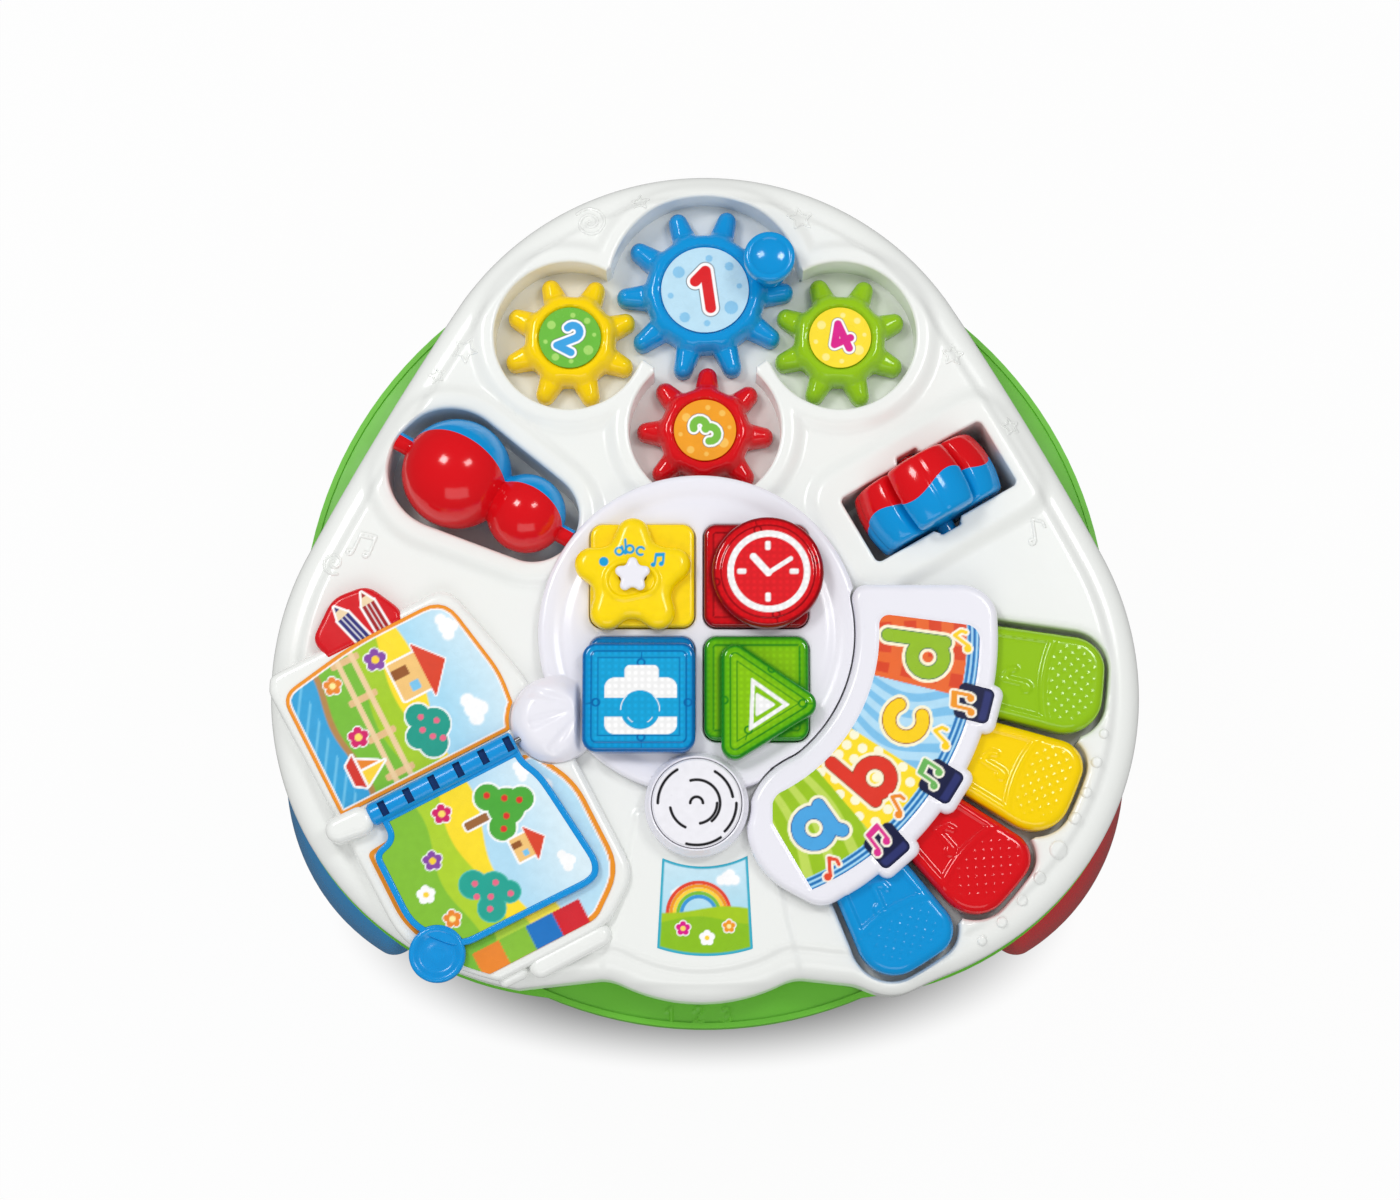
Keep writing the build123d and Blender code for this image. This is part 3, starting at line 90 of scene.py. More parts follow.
# %% Colour and node helpers
def linear(colour):
    """Linear RGBA of an sRGB hex colour: below 0.04045 divided by 12.92, above it a 2.4 power."""
    srgb = np.array([int(colour[k:k + 2], 16) / 255.0 for k in (0, 2, 4)])
    light = np.where(srgb <= 0.04045, srgb / 12.92, ((srgb + 0.055) / 1.055) ** 2.4)
    return (*light.tolist(), 1.0)


def add(tree, kind, inputs=None, **settings):
    """Adds a node. An input is a value, or another node's output that is linked to it."""
    made = tree.nodes.new("ShaderNode" + kind)
    for name, value in settings.items():
        setattr(made, name, value)
    for key, value in (inputs or {}).items():
        if isinstance(value, bpy.types.NodeSocket):
            tree.links.new(value, made.inputs[key])
        else:
            made.inputs[key].default_value = value
    return made


def blank(name):
    """A material with only its output node."""
    made = bpy.data.materials.new(name)
    made.use_nodes = True
    made.node_tree.nodes.clear()
    return made, made.node_tree, add(made.node_tree, "OutputMaterial")


print("white ABS in linear light:", [round(value, 3) for value in linear("F3F5F2")[:3]])

# %% [markdown]
# ## Light and floor
# A product photograph of white plastic needs large soft lamps, or the white deck turns grey in one
# place and clips in another. Two square softboxes above give the paired highlights on the balls, a
# wide one fills from the front, and a pale world lights the rest. The floor shows white to the
# camera and carries a painted shadow under the front edge.

# %% Lamps
def softbox(name, place, aim, size, power):
    """A rectangular lamp at a place, turned so that it shines at the aim."""
    data = bpy.data.lights.new(name, "AREA")
    data.shape = "RECTANGLE"
    data.size, data.size_y = size
    data.energy = power
    lamp = bpy.data.objects.new(name, data)
    bpy.context.scene.collection.objects.link(lamp)
    lamp.location = place
    away = np.array(place) - np.array(aim)
    flat = math.hypot(away[0], away[1])
    lamp.rotation_euler = (math.atan2(flat, away[2]), 0.0, math.atan2(away[0], -away[1]))
    return lamp


MIDDLE = (0.0, 0.0, 0.33)
softbox("softbox_left", (-0.66, 0.52, 1.60), MIDDLE, (0.36, 0.36), 6.1)
softbox("softbox_right", (0.58, 0.40, 1.68), MIDDLE, (0.26, 0.38), 3.8)
softbox("softbox_front", (0.0, -1.5, 1.5), MIDDLE, (1.6, 0.8), 5.4)
print("softboxes in W:", {lamp.name: round(lamp.energy, 1) for lamp in bpy.data.lights})

# %% World
SKY, SKY_IN_GLOSS = 0.60, 0.08
world = bpy.data.worlds.new("studio")
bpy.context.scene.world = world
world.use_nodes = True
sky = world.node_tree
sky.nodes.clear()
ray = add(sky, "LightPath").outputs
seen = add(sky, "Math", {0: ray["Is Camera Ray"], 1: ray["Is Transmission Ray"]}, operation="MAXIMUM")
level = add(sky, "MapRange", {"Value": ray["Is Glossy Ray"], 3: SKY, 4: SKY_IN_GLOSS})
ambient = add(sky, "Background", {"Color": linear("FFFFFF"), "Strength": level.outputs[0]})
shown = add(sky, "Background", {"Color": linear("FFFFFF"), "Strength": 1.0})
mixed = add(sky, "MixShader", {0: seen.outputs[0], 1: ambient.outputs[0], 2: shown.outputs[0]})
add(sky, "OutputWorld", {"Surface": mixed.outputs[0]})
print("world strength", SKY, "and in gloss", SKY_IN_GLOSS)

# %% [markdown]
# The floor is matt paper. To the camera it also glows white, and the glow fades out in an ellipse
# that reaches 215 mm to each side and from 135 to 233 mm in front of the table's middle. That fade
# is a painted shadow under the front edge: inside it the camera sees mostly the weakened glow and
# only a little of the paper's own shade.

# %% Floor
SHADOW_SIDE, SHADOW_NEAR, SHADOW_FAR = 0.215, -0.135, -0.233
floor_material, tree, output = blank("studio_paper")
coords = add(tree, "TexCoord").outputs["Object"]
fibre = add(tree, "TexNoise", {"Vector": coords, "Scale": 40.0})
shade = add(tree, "MapRange", {"Value": fibre.outputs["Fac"], 3: 0.80, 4: 0.82})
grey = add(tree, "CombineColor", {0: shade.outputs[0], 1: shade.outputs[0], 2: shade.outputs[0]})
ray = add(tree, "LightPath").outputs
mirrored = add(tree, "MapRange", {"Value": ray["Is Glossy Ray"], 3: 1.0, 4: 0.15})
grey = add(tree, "VectorMath", {0: grey.outputs[0], 1: mirrored.outputs[0]}, operation="MULTIPLY")
paper = add(tree, "BsdfDiffuse", {"Color": grey.outputs[0]})
place = add(tree, "SeparateXYZ", {0: coords})
across = add(tree, "Math", {0: place.outputs[0], 1: SHADOW_SIDE}, operation="DIVIDE")
away = add(tree, "MapRange", {"Value": place.outputs[1], 1: SHADOW_NEAR, 2: SHADOW_FAR, 3: 0.0, 4: 1.0},
           clamp=False)
across = add(tree, "Math", {0: across.outputs[0], 1: 2.0}, operation="POWER")
away = add(tree, "Math", {0: away.outputs[0], 1: 2.0}, operation="POWER")
spread = add(tree, "Math", {0: away.outputs[0], 1: across.outputs[0]}, operation="ADD")
# Painted shadow: the camera's glow falls from 1 outside the ellipse to 0.08 in its middle.
soft = add(tree, "MapRange", {"Value": spread.outputs[0], 1: 0.28, 2: 1.05, 3: 0.08, 4: 1.0},
           interpolation_type="SMOOTHSTEP")
lift = add(tree, "Emission", {"Color": linear("FFFFFF"), "Strength": soft.outputs[0]})
share = add(tree, "Math", {0: ray["Is Camera Ray"], 1: 0.95}, operation="MULTIPLY")
both = add(tree, "MixShader", {0: share.outputs[0], 1: paper.outputs[0], 2: lift.outputs[0]})
tree.links.new(both.outputs[0], output.inputs["Surface"])

floor_mesh = bpy.data.meshes.new("floor")
floor_mesh.from_pydata([(-6, -6, 0), (6, -6, 0), (6, 6, 0), (-6, 6, 0)], [], [(0, 1, 2, 3)])
floor_mesh.materials.append(floor_material)
floor = bpy.data.objects.new("floor", floor_mesh)
bpy.context.scene.collection.objects.link(floor)
print("floor: 1 square of 12 m")

# %% [markdown]
# ## Finishes
# Nearly everything is ABS, a hard glossy plastic moulded in steel tools. It is one even colour all
# through, so what the eye reads is the gloss: sharp highlights, bent a little by the slight
# waviness that the plastic takes as it shrinks, and a roughness that varies where hands rub it.


# %% Moulded plastic
def moulded(name, colour, roughness=0.13, drift=0.035):
    """ABS: colour that drifts a little over 60 mm, gloss that varies over 15 mm, waves of 6 mm."""
    made, tree, output = blank(name)
    coords = add(tree, "TexCoord").outputs["Object"]
    wide = add(tree, "TexNoise", {"Vector": coords, "Scale": 1 / 0.060, "Detail": 2.0})
    full = linear(colour)
    dark = tuple(channel * (1.0 - drift) for channel in full[:3]) + (1.0,)
    hue = add(tree, "Mix", {0: wide.outputs["Fac"], 6: full, 7: dark}, data_type="RGBA")
    rub = add(tree, "TexNoise", {"Vector": coords, "Scale": 1 / 0.015, "Detail": 3.0})
    gloss = add(tree, "MapRange", {"Value": rub.outputs["Fac"], 3: roughness * 0.8, 4: roughness * 1.25})
    swell = add(tree, "TexNoise", {"Vector": coords, "Scale": 1 / 0.006, "Detail": 1.0})
    bump = add(tree, "Bump", {"Height": swell.outputs["Fac"], "Strength": 0.12, "Distance": 0.0002})
    shader = add(tree, "BsdfPrincipled", {
        "Base Color": hue.outputs[2], "Roughness": gloss.outputs[0], "Normal": bump.outputs["Normal"],
        "IOR": 1.53})
    tree.links.new(shader.outputs[0], output.inputs["Surface"])
    return made


ABS = {
    "white": moulded("ABS_white", "F3F5F2", 0.20, 0.02),
    "cool": moulded("ABS_cool_white", "F1F0F8", 0.20, 0.02),
    "blue": moulded("ABS_blue", "0A96DC"),
    "yellow": moulded("ABS_yellow", "FFD800"),
    "red": moulded("ABS_red", "DE0F19"),
    "lime": moulded("ABS_lime", "97C81A"),
    "green": moulded("ABS_green", "6CC62F", 0.42),
    "dark": moulded("ABS_black", "1B1C1F", 0.45),
}
print("moulded colours", sorted(ABS))


# %% [markdown]
# The see-through buttons are clear polystyrene dyed blue, red and green, drawn here as opaque colour.
# A darker copy of the colour is painted as shade at the edge, where the real wall is thick, and a
# lighter copy is painted as light over the flat top, which carries fine moulded ribs. The points
# store that painted shade and light as a tint, and the material reads it. The vinyl stickers and the
# plastic parts that carry a print are tinted the same way.

# %% Tinted finishes
def tinted(name, roughness, rib=0.0, rib_painted_shade=0.0, ior=1.5):
    """Colour from the piece's tint. Ribs of a width in mm lie about twice that apart, both ways; painted
    shade darkens their troughs and painted light brightens their crests.
    """
    made, tree, output = blank(name)
    coords = add(tree, "TexCoord").outputs["Object"]
    tint = add(tree, "VertexColor", layer_name="tint").outputs["Color"]
    speck = add(tree, "TexNoise", {"Vector": coords, "Scale": 1 / 0.004, "Detail": 2.0})
    level = add(tree, "MapRange", {"Value": speck.outputs["Fac"], 3: 0.93, 4: 1.07})
    hue = add(tree, "VectorMath", {0: tint, 1: level.outputs[0]}, operation="MULTIPLY")
    rub = add(tree, "TexNoise", {"Vector": coords, "Scale": 1 / 0.012, "Detail": 2.0})
    gloss = add(tree, "MapRange", {"Value": rub.outputs["Fac"], 3: roughness * 0.8, 4: roughness * 1.3})
    height = speck.outputs["Fac"]
    if rib:
        size = {"Vector": coords, "Scale": 1000.0 / (2 * math.pi * rib)}
        waves = add(tree, "TexWave", size, bands_direction="X")
        cross = add(tree, "TexWave", size, bands_direction="Y")
        net = add(tree, "Math", {0: waves.outputs["Fac"], 1: cross.outputs["Fac"]}, operation="MULTIPLY")
        height = net.outputs[0]
        # Painted shade in the rib troughs and painted light on their crests.
        deep = add(tree, "MapRange", {"Value": height, 3: 1.0 - rib_painted_shade, 4: 1.0 + rib_painted_shade * 0.6})
        hue = add(tree, "VectorMath", {0: hue.outputs[0], 1: deep.outputs[0]}, operation="MULTIPLY")
    bump = add(tree, "Bump", {"Height": height, "Strength": 0.1, "Distance": 0.0001})
    shader = add(tree, "BsdfPrincipled", {
        "Base Color": hue.outputs[0], "Roughness": gloss.outputs[0], "Normal": bump.outputs["Normal"],
        "IOR": ior})
    tree.links.new(shader.outputs[0], output.inputs["Surface"])
    return made


CLEAR = tinted("polystyrene_dyed", 0.07, rib=1.6, rib_painted_shade=0.10, ior=1.59)
STICKER = tinted("vinyl_sticker", 0.25)
print("tinted finishes", CLEAR.name, STICKER.name)

# %% [markdown]
# ## Outlines as distances
# Every plate on the table is an outline with a soft edge. The outline is kept as a function that
# gives, for any point, how far inside it lies. Two outlines join with a maximum, overlap with a
# minimum, grow by adding a number, and the same distance shapes the rounded edge.


# %% Distances
def circle(x, y, centre, radius):
    """Radius minus the distance from the centre."""
    return radius - np.hypot(x - centre[0], y - centre[1])


def polar(x, y, centre):
    """Distance and direction in degrees from a centre."""
    u, v = x - centre[0], y - centre[1]
    return np.hypot(u, v), np.degrees(np.arctan2(v, u))


def on_circle(centre, reach, degrees):
    """Point at a distance and in a direction from a centre."""
    angle = math.radians(degrees)
    return centre[0] + reach * math.cos(angle), centre[1] + reach * math.sin(angle)


def square(centre, reach):
    """Box of grid limits around a centre."""
    return centre[0] - reach, centre[1] - reach, centre[0] + reach, centre[1] + reach


def turned(x, y, centre, degrees):
    """Coordinates measured from a centre along axes that are turned by the angle."""
    c, s = math.cos(math.radians(degrees)), math.sin(math.radians(degrees))
    u, v = x - centre[0], y - centre[1]
    return c * u + s * v, c * v - s * u


print("4 mm from the middle of a 10 mm circle:", circle(4.0, 0.0, (0, 0), 10.0), "mm inside")

# %% [markdown]
# Windows, caps and bumps are rectangles with round corners. Freer outlines, such as the book's, are
# closed lines of points. For both, the nearest part of the outline gives the distance.

# %% Boxes and lines
def rounded_box(x, y, centre, size, radius, degrees=0.0):
    """Distance inside a rectangle whose corners are rounded."""
    u, v = turned(x, y, centre, degrees)
    a = np.abs(u) - size[0] / 2 + radius
    b = np.abs(v) - size[1] / 2 + radius
    return radius - np.hypot(np.maximum(a, 0), np.maximum(b, 0)) - np.minimum(np.maximum(a, b), 0)


def rounded_meet(a, b, radius):
    """Overlap of two distances whose corner is rounded."""
    corner = radius - np.hypot(radius - a, radius - b)
    return np.where((a < radius) & (b < radius), corner, np.minimum(a, b))


def segment(x, y, start, end):
    """Distance to the straight line between two points."""
    along = end - start
    u, v = x - start[0], y - start[1]
    share = np.clip((u * along[0] + v * along[1]) / max(along @ along, 1e-12), 0, 1)
    return np.hypot(u - share * along[0], v - share * along[1])


def polygon(x, y, corners):
    """Distance inside a closed line of points: the nearest of its segments, negative outside."""
    corners = np.asarray(corners, float)
    nearest = np.full(np.shape(x), 1e9)
    odd = np.zeros(np.shape(x), bool)
    for start, end in zip(corners, np.roll(corners, -1, 0)):
        nearest = np.minimum(nearest, segment(x, y, start, end))
        crosses = (start[1] > y) != (end[1] > y)
        rise = (end[1] - start[1]) or 1.0
        odd ^= crosses & (x - start[0] < (end[0] - start[0]) * (y - start[1]) / rise)
    return np.where(odd, nearest, -nearest)


print("middle of a 10 mm square:", rounded_box(0.0, 0.0, (0, 0), (10, 10), 2.0), "mm inside")

# %% [markdown]
# A moulding has no sharp corner and no sudden step. These three soften corners of a line, steps of
# a height, and the hollow where two heights meet.

# %% Soft corners, steps and hollows
def soft_corners(corners, radius, steps=6):
    """Closed line whose corners are parabolas that start at most a radius and half a side away."""
    corners = np.asarray(corners, float)
    radius = np.broadcast_to(radius, (len(corners),))[:, None]
    back = np.roll(corners, 1, 0) - corners
    ahead = np.roll(corners, -1, 0) - corners
    long_back = np.linalg.norm(back, axis=1, keepdims=True)
    long_ahead = np.linalg.norm(ahead, axis=1, keepdims=True)
    first = corners + back / long_back * np.minimum(radius, long_back * 0.49)
    last = corners + ahead / long_ahead * np.minimum(radius, long_ahead * 0.49)
    t = np.linspace(0, 1, steps)[None, :, None]
    curve = (1 - t) ** 2 * first[:, None] + 2 * t * (1 - t) * corners[:, None] + t ** 2 * last[:, None]
    return curve.reshape(-1, 2)


def ease(value, low, high):
    """Smooth step from 0 at low to 1 at high."""
    t = np.clip((value - low) / (high - low), 0, 1)
    return t * t * (3 - 2 * t)


def smooth_max(a, b, blend):
    """Larger of two heights, with a soft hollow of the blend's width where they cross."""
    share = np.clip(0.5 + 0.5 * (a - b) / blend, 0, 1)
    return b + (a - b) * share + blend * share * (1 - share)


print("half way up a soft step:", ease(0.5, 0.0, 1.0))

# %% [markdown]
# ## Plates
# A plate is a square grid of points laid over its outline. Points near the outline are moved onto
# it, the cells inside are kept, and the open border is drawn out and down in rows for the rounded
# edge and the wall. It needs no triangulation by hand, takes any outline and stays smooth.


# %% Grid that fits an outline
def slope(inside, x, y):
    """How fast a distance grows along x and y, from its change over 0.02 mm."""
    half = 0.01
    along_x = (inside(x + half, y) - inside(x - half, y)) / (2 * half)
    along_y = (inside(x, y + half) - inside(x, y - half)) / (2 * half)
    return along_x, along_y


def fitted_grid(inside, step, box):
    """Points, quads and triangles of a grid whose points near the outline are moved onto it."""
    x, y = np.meshgrid(np.arange(box[0], box[2] + step, step), np.arange(box[1], box[3] + step, step))
    index = np.arange(x.size).reshape(x.shape)
    x, y = x.ravel(), y.ravel()
    distance = inside(x, y)
    near = np.abs(distance) < 0.5 * step
    for _ in range(3):
        gx, gy = slope(inside, x[near], y[near])
        share = inside(x[near], y[near]) / np.maximum(gx ** 2 + gy ** 2, 1e-6)
        x[near] -= share * gx
        y[near] -= share * gy
    sign = np.where(near, 0, np.sign(distance)).astype(int)
    cells = np.stack([index[:-1, :-1], index[:-1, 1:], index[1:, 1:], index[1:, :-1]], -1).reshape(-1, 4)
    marks = sign[cells]
    middle = inside(x[cells].mean(1), y[cells].mean(1)) > 0.05 * step
    quads = cells[(marks >= 0).all(1) & ((marks > 0).any(1) | middle)]
    parts = []
    for k in range(4):
        rest = cells[:, [(k + 1) % 4, (k + 2) % 4, (k + 3) % 4]]
        pick = (marks[:, k] < 0) & (sign[rest] >= 0).all(1)
        pick &= inside(x[rest].mean(1), y[rest].mean(1)) > 0.05 * step
        parts.append(rest[pick])
    tris = np.concatenate(parts)
    used, places = np.unique(np.concatenate([quads.ravel(), tris.ravel()]), return_inverse=True)
    quads = places[:quads.size].reshape(-1, 4)
    tris = places[quads.size:].reshape(-1, 3)
    return x[used], y[used], quads, tris


def border_of(quads, tris, count):
    """Directed edges that only one cell has, with the cell on their left."""
    sides = [np.stack([faces, np.roll(faces, -1, 1)], -1).reshape(-1, 2) for faces in (quads, tris)]
    edges = np.concatenate(sides)
    keys = edges[:, 0] * count + edges[:, 1]
    back = edges[:, 1] * count + edges[:, 0]
    return edges[~np.isin(keys, back)]


trial = fitted_grid(lambda x, y: circle(x, y, (0, 0), 10.0), 1.0, (-12, -12, 12, 12))
print("a 10 mm circle at a step of 1 mm:", len(trial[0]), "points")

# %% [markdown]
# The wall comes after the face. Each border point goes outwards against the slope of the distance,
# a row at a time, so that the rim follows any outline, and a last row ends the wall at its foot.


# %% Plate from an outline, a top and a rim
def quarter(radius, drop=None, rows=5):
    """Rim rows of a quarter ellipse: out by radius times sine, down by drop times one minus cosine."""
    turn = np.linspace(0, math.pi / 2, rows + 1)[1:, None]

    def rim(x, y, z):
        wide = radius(x, y) if callable(radius) else radius
        deep = wide if drop is None else drop
        return wide * np.sin(turn) * np.ones_like(x), z - deep * (1 - np.cos(turn))
    return rim


def plate(inside, top, step, box, rim, foot, closed=True):
    """Points and faces of a plate. The outline is the inner line of its rim; foot ends the wall."""
    x, y, quads, tris = fitted_grid(inside, step, box)
    z = top(x, y) if callable(top) else np.full(x.shape, float(top))
    count = len(x)
    edges = border_of(quads, tris, count)
    line, ends = np.unique(edges.ravel(), return_inverse=True)
    ends = ends.reshape(-1, 2)
    bx, by, bz = x[line], y[line], z[line]
    gx, gy = slope(inside, bx, by)
    size = np.maximum(np.hypot(gx, gy), 1e-6)
    out, heights = rim(bx, by, bz)
    low = foot(bx, by) if callable(foot) else np.full(bx.shape, float(foot))
    out = np.vstack([out, out[-1:]])
    heights = np.vstack([heights, low[None]])
    rows = np.stack([bx - gx / size * out, by - gy / size * out, heights], -1)
    points = [np.stack([x, y, z], -1), rows.reshape(-1, 3)]
    faces = [quads, tris]
    total = count + rows.shape[0] * len(line)
    numbers = np.vstack([line[None], np.arange(count, total).reshape(rows.shape[0], -1)])
    for upper, lower in zip(numbers[:-1], numbers[1:]):
        first, last = ends[:, 0], ends[:, 1]
        faces.append(np.stack([upper[first], lower[first], lower[last], upper[last]], -1))
    if closed:
        under = np.arange(count) + total
        under[line] = numbers[-1]
        base = low.min() if np.ptp(low) < 1e-9 else low.mean()
        points.append(np.stack([x, y, np.full(count, base)], -1))
        faces.append(under[quads][:, ::-1])
        faces.append(under[tris][:, ::-1])
    return np.concatenate(points), faces


print("a 2 mm edge falls by", quarter(2.0)(np.zeros(1), 0.0, 0.0)[1].ravel().round(2))

# %% [markdown]
# One function turns points in millimetres into a Blender object in the frame's metres, hangs it on
# its CAD body and hides the CAD node it stands for. Unused points are dropped, so the mesh holds
# nothing stray.


# %% Points to a piece
def piece(name, points, faces, material, body="table", node=(), slot=None, tint=None, sharp=40.0):
    """Makes a piece from points in deck millimetres. tint is a colour for each point."""
    faces = [np.asarray(f) for f in faces if len(f)]
    used, places = np.unique(np.concatenate([f.ravel() for f in faces]), return_inverse=True)
    points = np.asarray(points, float)[used] * 0.001
    points[:, 1] += deck_shift
    rows, at = [], 0
    for f in faces:
        rows += places[at:at + f.size].reshape(f.shape).tolist()
        at += f.size
    mesh = bpy.data.meshes.new(name)
    mesh.from_pydata(points.tolist(), [], rows)
    mesh.polygons.foreach_set("use_smooth", np.ones(len(mesh.polygons), bool))
    mesh.set_sharp_from_angle(angle=math.radians(sharp))
    if tint is not None:
        layer = mesh.color_attributes.new("tint", "FLOAT_COLOR", "POINT")
        layer.data.foreach_set("color", np.asarray(tint, float)[used].ravel())
    mesh.materials.append(material)
    made = bpy.data.objects.new(name, mesh)
    bpy.context.scene.collection.objects.link(made)
    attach(made, body)
    if node:
        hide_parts(*([node] if isinstance(node, str) else node))
    corners = sum(len(f) * (f.shape[1] - 2) for f in faces)
    print(f"{name}: {corners} triangles")
    return made


def joined(*shapes):
    """One point list and one face list from several pairs of them."""
    points, faces, count = [], [], 0
    for some, their in shapes:
        points.append(np.asarray(some, float))
        faces += [np.asarray(f) + count for f in their if len(f)]
        count += len(some)
    return np.concatenate(points), faces


# %% [markdown]
# ## The deck
# The deck is one large moulding with rounded lobes, wells for the toys and soft raised borders.
# Its outline is six arcs: three lobes and three long sides that run into them without a corner.


# %% Deck outline
LOBE_REACH, SIDE_REACH, LOBE_RADIUS = 222.0, 185.5, 146.0


def deck_arcs(x, y):
    """Distance inside six arcs: by symmetry one lobe arc and one side arc decide for every point."""
    turn = np.degrees(np.arctan2(y, x)) - 90.0
    turn = np.abs((turn + 60.0) % 120.0 - 60.0)
    reach = np.hypot(x, y)
    u, v = reach * np.cos(np.radians(turn)), reach * np.sin(np.radians(turn))
    orbit = LOBE_REACH - LOBE_RADIUS
    back = (orbit ** 2 - (SIDE_REACH - LOBE_RADIUS) ** 2) / (2 * (SIDE_REACH - LOBE_RADIUS) - orbit)
    px, py = -back * 0.5, -back * math.sqrt(0.75)
    side = (u - px) * (0.0 - py) - (v - py) * (orbit - px)
    lobe = LOBE_RADIUS - np.hypot(u - orbit, v)
    long_arc = SIDE_REACH + back - np.hypot(u - px, v - py)
    return np.where(side > 0, lobe, long_arc)


def deck_inside(x, y):
    """The front side is nearly straight; the tongue's end and the keys' bay bulge out of it."""
    front = np.minimum(deck_arcs(x, y), (y + 172.0 + 0.11 * np.abs(x)) / 1.006)
    front = smooth_max(front, circle(x, y, (-2.0, -99.5), 89.0), 4.0)
    return smooth_max(front, basin(x, y) + 6.2, 3.0)


print("lobes reach", LOBE_REACH, "mm and sides", SIDE_REACH, "mm")

# %% [markdown]
# ## Places and outlines of the toys
# The places come from the CAD drawing, in millimetres from the deck's middle. Every well and every
# moving part is one of a few outlines: circles, hulls of two circles, rounded boxes and slices of a
# ring. The deck is cut by the same outlines that later shape the parts which stand in it.

# %% Places
COVER, FAN = (-2.8, -12.0), (11.0, -18.5)
SCALLOP, SPEAKER = (-72.6, -54.0), (-4.0, -95.3)
BALLS, ROLLER = ((-121.56, 68.15), (-87.44, 48.45)), (109.3, 58.8)
# Each gear: middle, fingers, reach of a finger, of its root, phase in degrees, radius of the recess.
GEARS = {
    "blue": ((0.0, BLUE_GEAR_Y), 10, 44.0, 30.0, 2.0, 21.8),
    "yellow": ((-66.72, 137.22), 8, 33.8, 22.6, 20.0, 15.4),
    "green": ((66.72, 137.22), 8, 33.8, 22.6, 155.0, 15.4),
    "red": ((0.0, 90.5), 8, 33.8, 22.6, 87.5, 15.4),
}
BUTTONS = {"star": (-30.3, 15.5), "clock": (24.7, 15.5), "camera": (-30.3, -39.5), "triangle": (24.7, -39.5)}
CAPS = {"star": (-34.8, 13.9), "clock": (30.3, 16.1), "camera": (-31.7, -44.7), "triangle": (24.7, -46.9)}
KEYS = ("green", "yellow", "red", "blue")
BOOK, BOOK_TURN = (-123.8, -82.2), 27.5
# Heights of the faces above the floor.
BAND_TOP, FINGER_TOP, COVER_TOP, PANEL_TOP, KEY_TOP = 329.0, 326.0, 341.0, 343.0, 337.2
BASE_TOP, LENS_TOP, STAR_TOP, PAGE_TOP, LEAF_TOP = 344.8, 352.3, 352.2, 339.4, 343.7
print("toys with a place:", len(GEARS) + len(BUTTONS) + len(KEYS) + 3)

# %% [markdown]
# Fingers, star tips and the double ball's well all taper from one round end to another, so one
# outline, the hull of two circles, makes them all. A key is cut from a ring, as the real keys fan
# out round one point, and its two outer corners have roundings of their own.

# %% Hull of two circles, soft star and key
def capsule(x, y, first, last, wide, narrow):
    """Hull of two circles: the distance inside an end's circle, or inside a leaning line between."""
    length = math.dist(first, last)
    ux, uy = (last[0] - first[0]) / length, (last[1] - first[1]) / length
    along = (x - first[0]) * ux + (y - first[1]) * uy
    aside = np.abs((x - first[0]) * uy - (y - first[1]) * ux)
    lean = (wide - narrow) / length
    flat = math.sqrt(1 - lean ** 2)
    reach = flat * along - lean * aside
    ends = np.where(reach < 0, wide - np.hypot(aside, along), narrow - np.hypot(aside, along - length))
    return np.where((reach < 0) | (reach > flat * length), ends, wide - flat * aside - lean * along)


def star(x, y, centre, reach, wide, narrow, blend, turn=90.0, arms=5):
    """Plump star: arms that are hulls of two circles, joined softly."""
    far = circle(x, y, centre, wide)
    for k in range(arms):
        tip = on_circle(centre, reach - narrow, turn + 360.0 / arms * k)
        far = smooth_max(far, capsule(x, y, centre, tip, wide, narrow), blend)
    return far


def key_inside(x, y, index, side=0.0, far=0.0):
    """Distance inside a key: a slice of a ring about the fan's centre with rounded outer corners."""
    r, turn = polar(x, y, FAN)
    middle, reach = -6.2 - 17.5 * index, 183.0 - 1.5 * index + far
    half = 8.75 - math.degrees((1.7 - side) / reach)
    high = r * np.sin(np.radians(middle + half - turn))
    low = r * np.sin(np.radians(turn - middle + half))
    if index == 0:
        high = 29.7 + side - turned(x, y, FAN, -8.2)[1]
    body = np.minimum(rounded_meet(high, reach - r, 14.0 + far), rounded_meet(low, reach - r, 20.0 + far))
    ahead = r * np.cos(np.radians(turn - middle)) - 60.0
    return np.minimum(np.minimum(body, r - 98.0 + far), ahead)


print("reach of the keys:", [183.0 - 1.5 * index for index in range(len(KEYS))])

# %% [markdown]
# The wells are the same outlines, grown by the play that each toy has in the real deck.

# %% Wells
def gear_wells(x, y):
    """Four round wells, 3.4 mm wider than the gears, which run into each other."""
    return np.max([circle(x, y, centre, tip + 3.4) for centre, _, tip, *_ in GEARS.values()], 0)


def ball_well(x, y):
    """Hull of two circles 3 mm wider than the balls, drawn out 4 mm at each end for the stubs."""
    (ax, ay), (bx, by) = BALLS
    reach = math.hypot(bx - ax, by - ay)
    ux, uy = 4.0 * (bx - ax) / reach, 4.0 * (by - ay) / reach
    return capsule(x, y, (ax - ux, ay - uy), (bx + ux, by + uy), 30.0, 22.4)


def roller_window(x, y):
    """Rounded rectangle round the roller's petals."""
    return rounded_box(x, y, ROLLER, (79.5, 36.6), 3.0, 30.0)


def roller_well(x, y):
    """The roller's window, with slots for its stubs in the two long sides."""
    return np.maximum(roller_window(x, y), rounded_box(x, y, ROLLER, (11.6, 43.8), 1.2, 30.0))


def basin(x, y):
    """One bay for each key, 3.2 mm wider on each side and 2 mm longer than the key."""
    return np.max([key_inside(x, y, index, 3.2, 2.0) for index in range(len(KEYS))], 0)


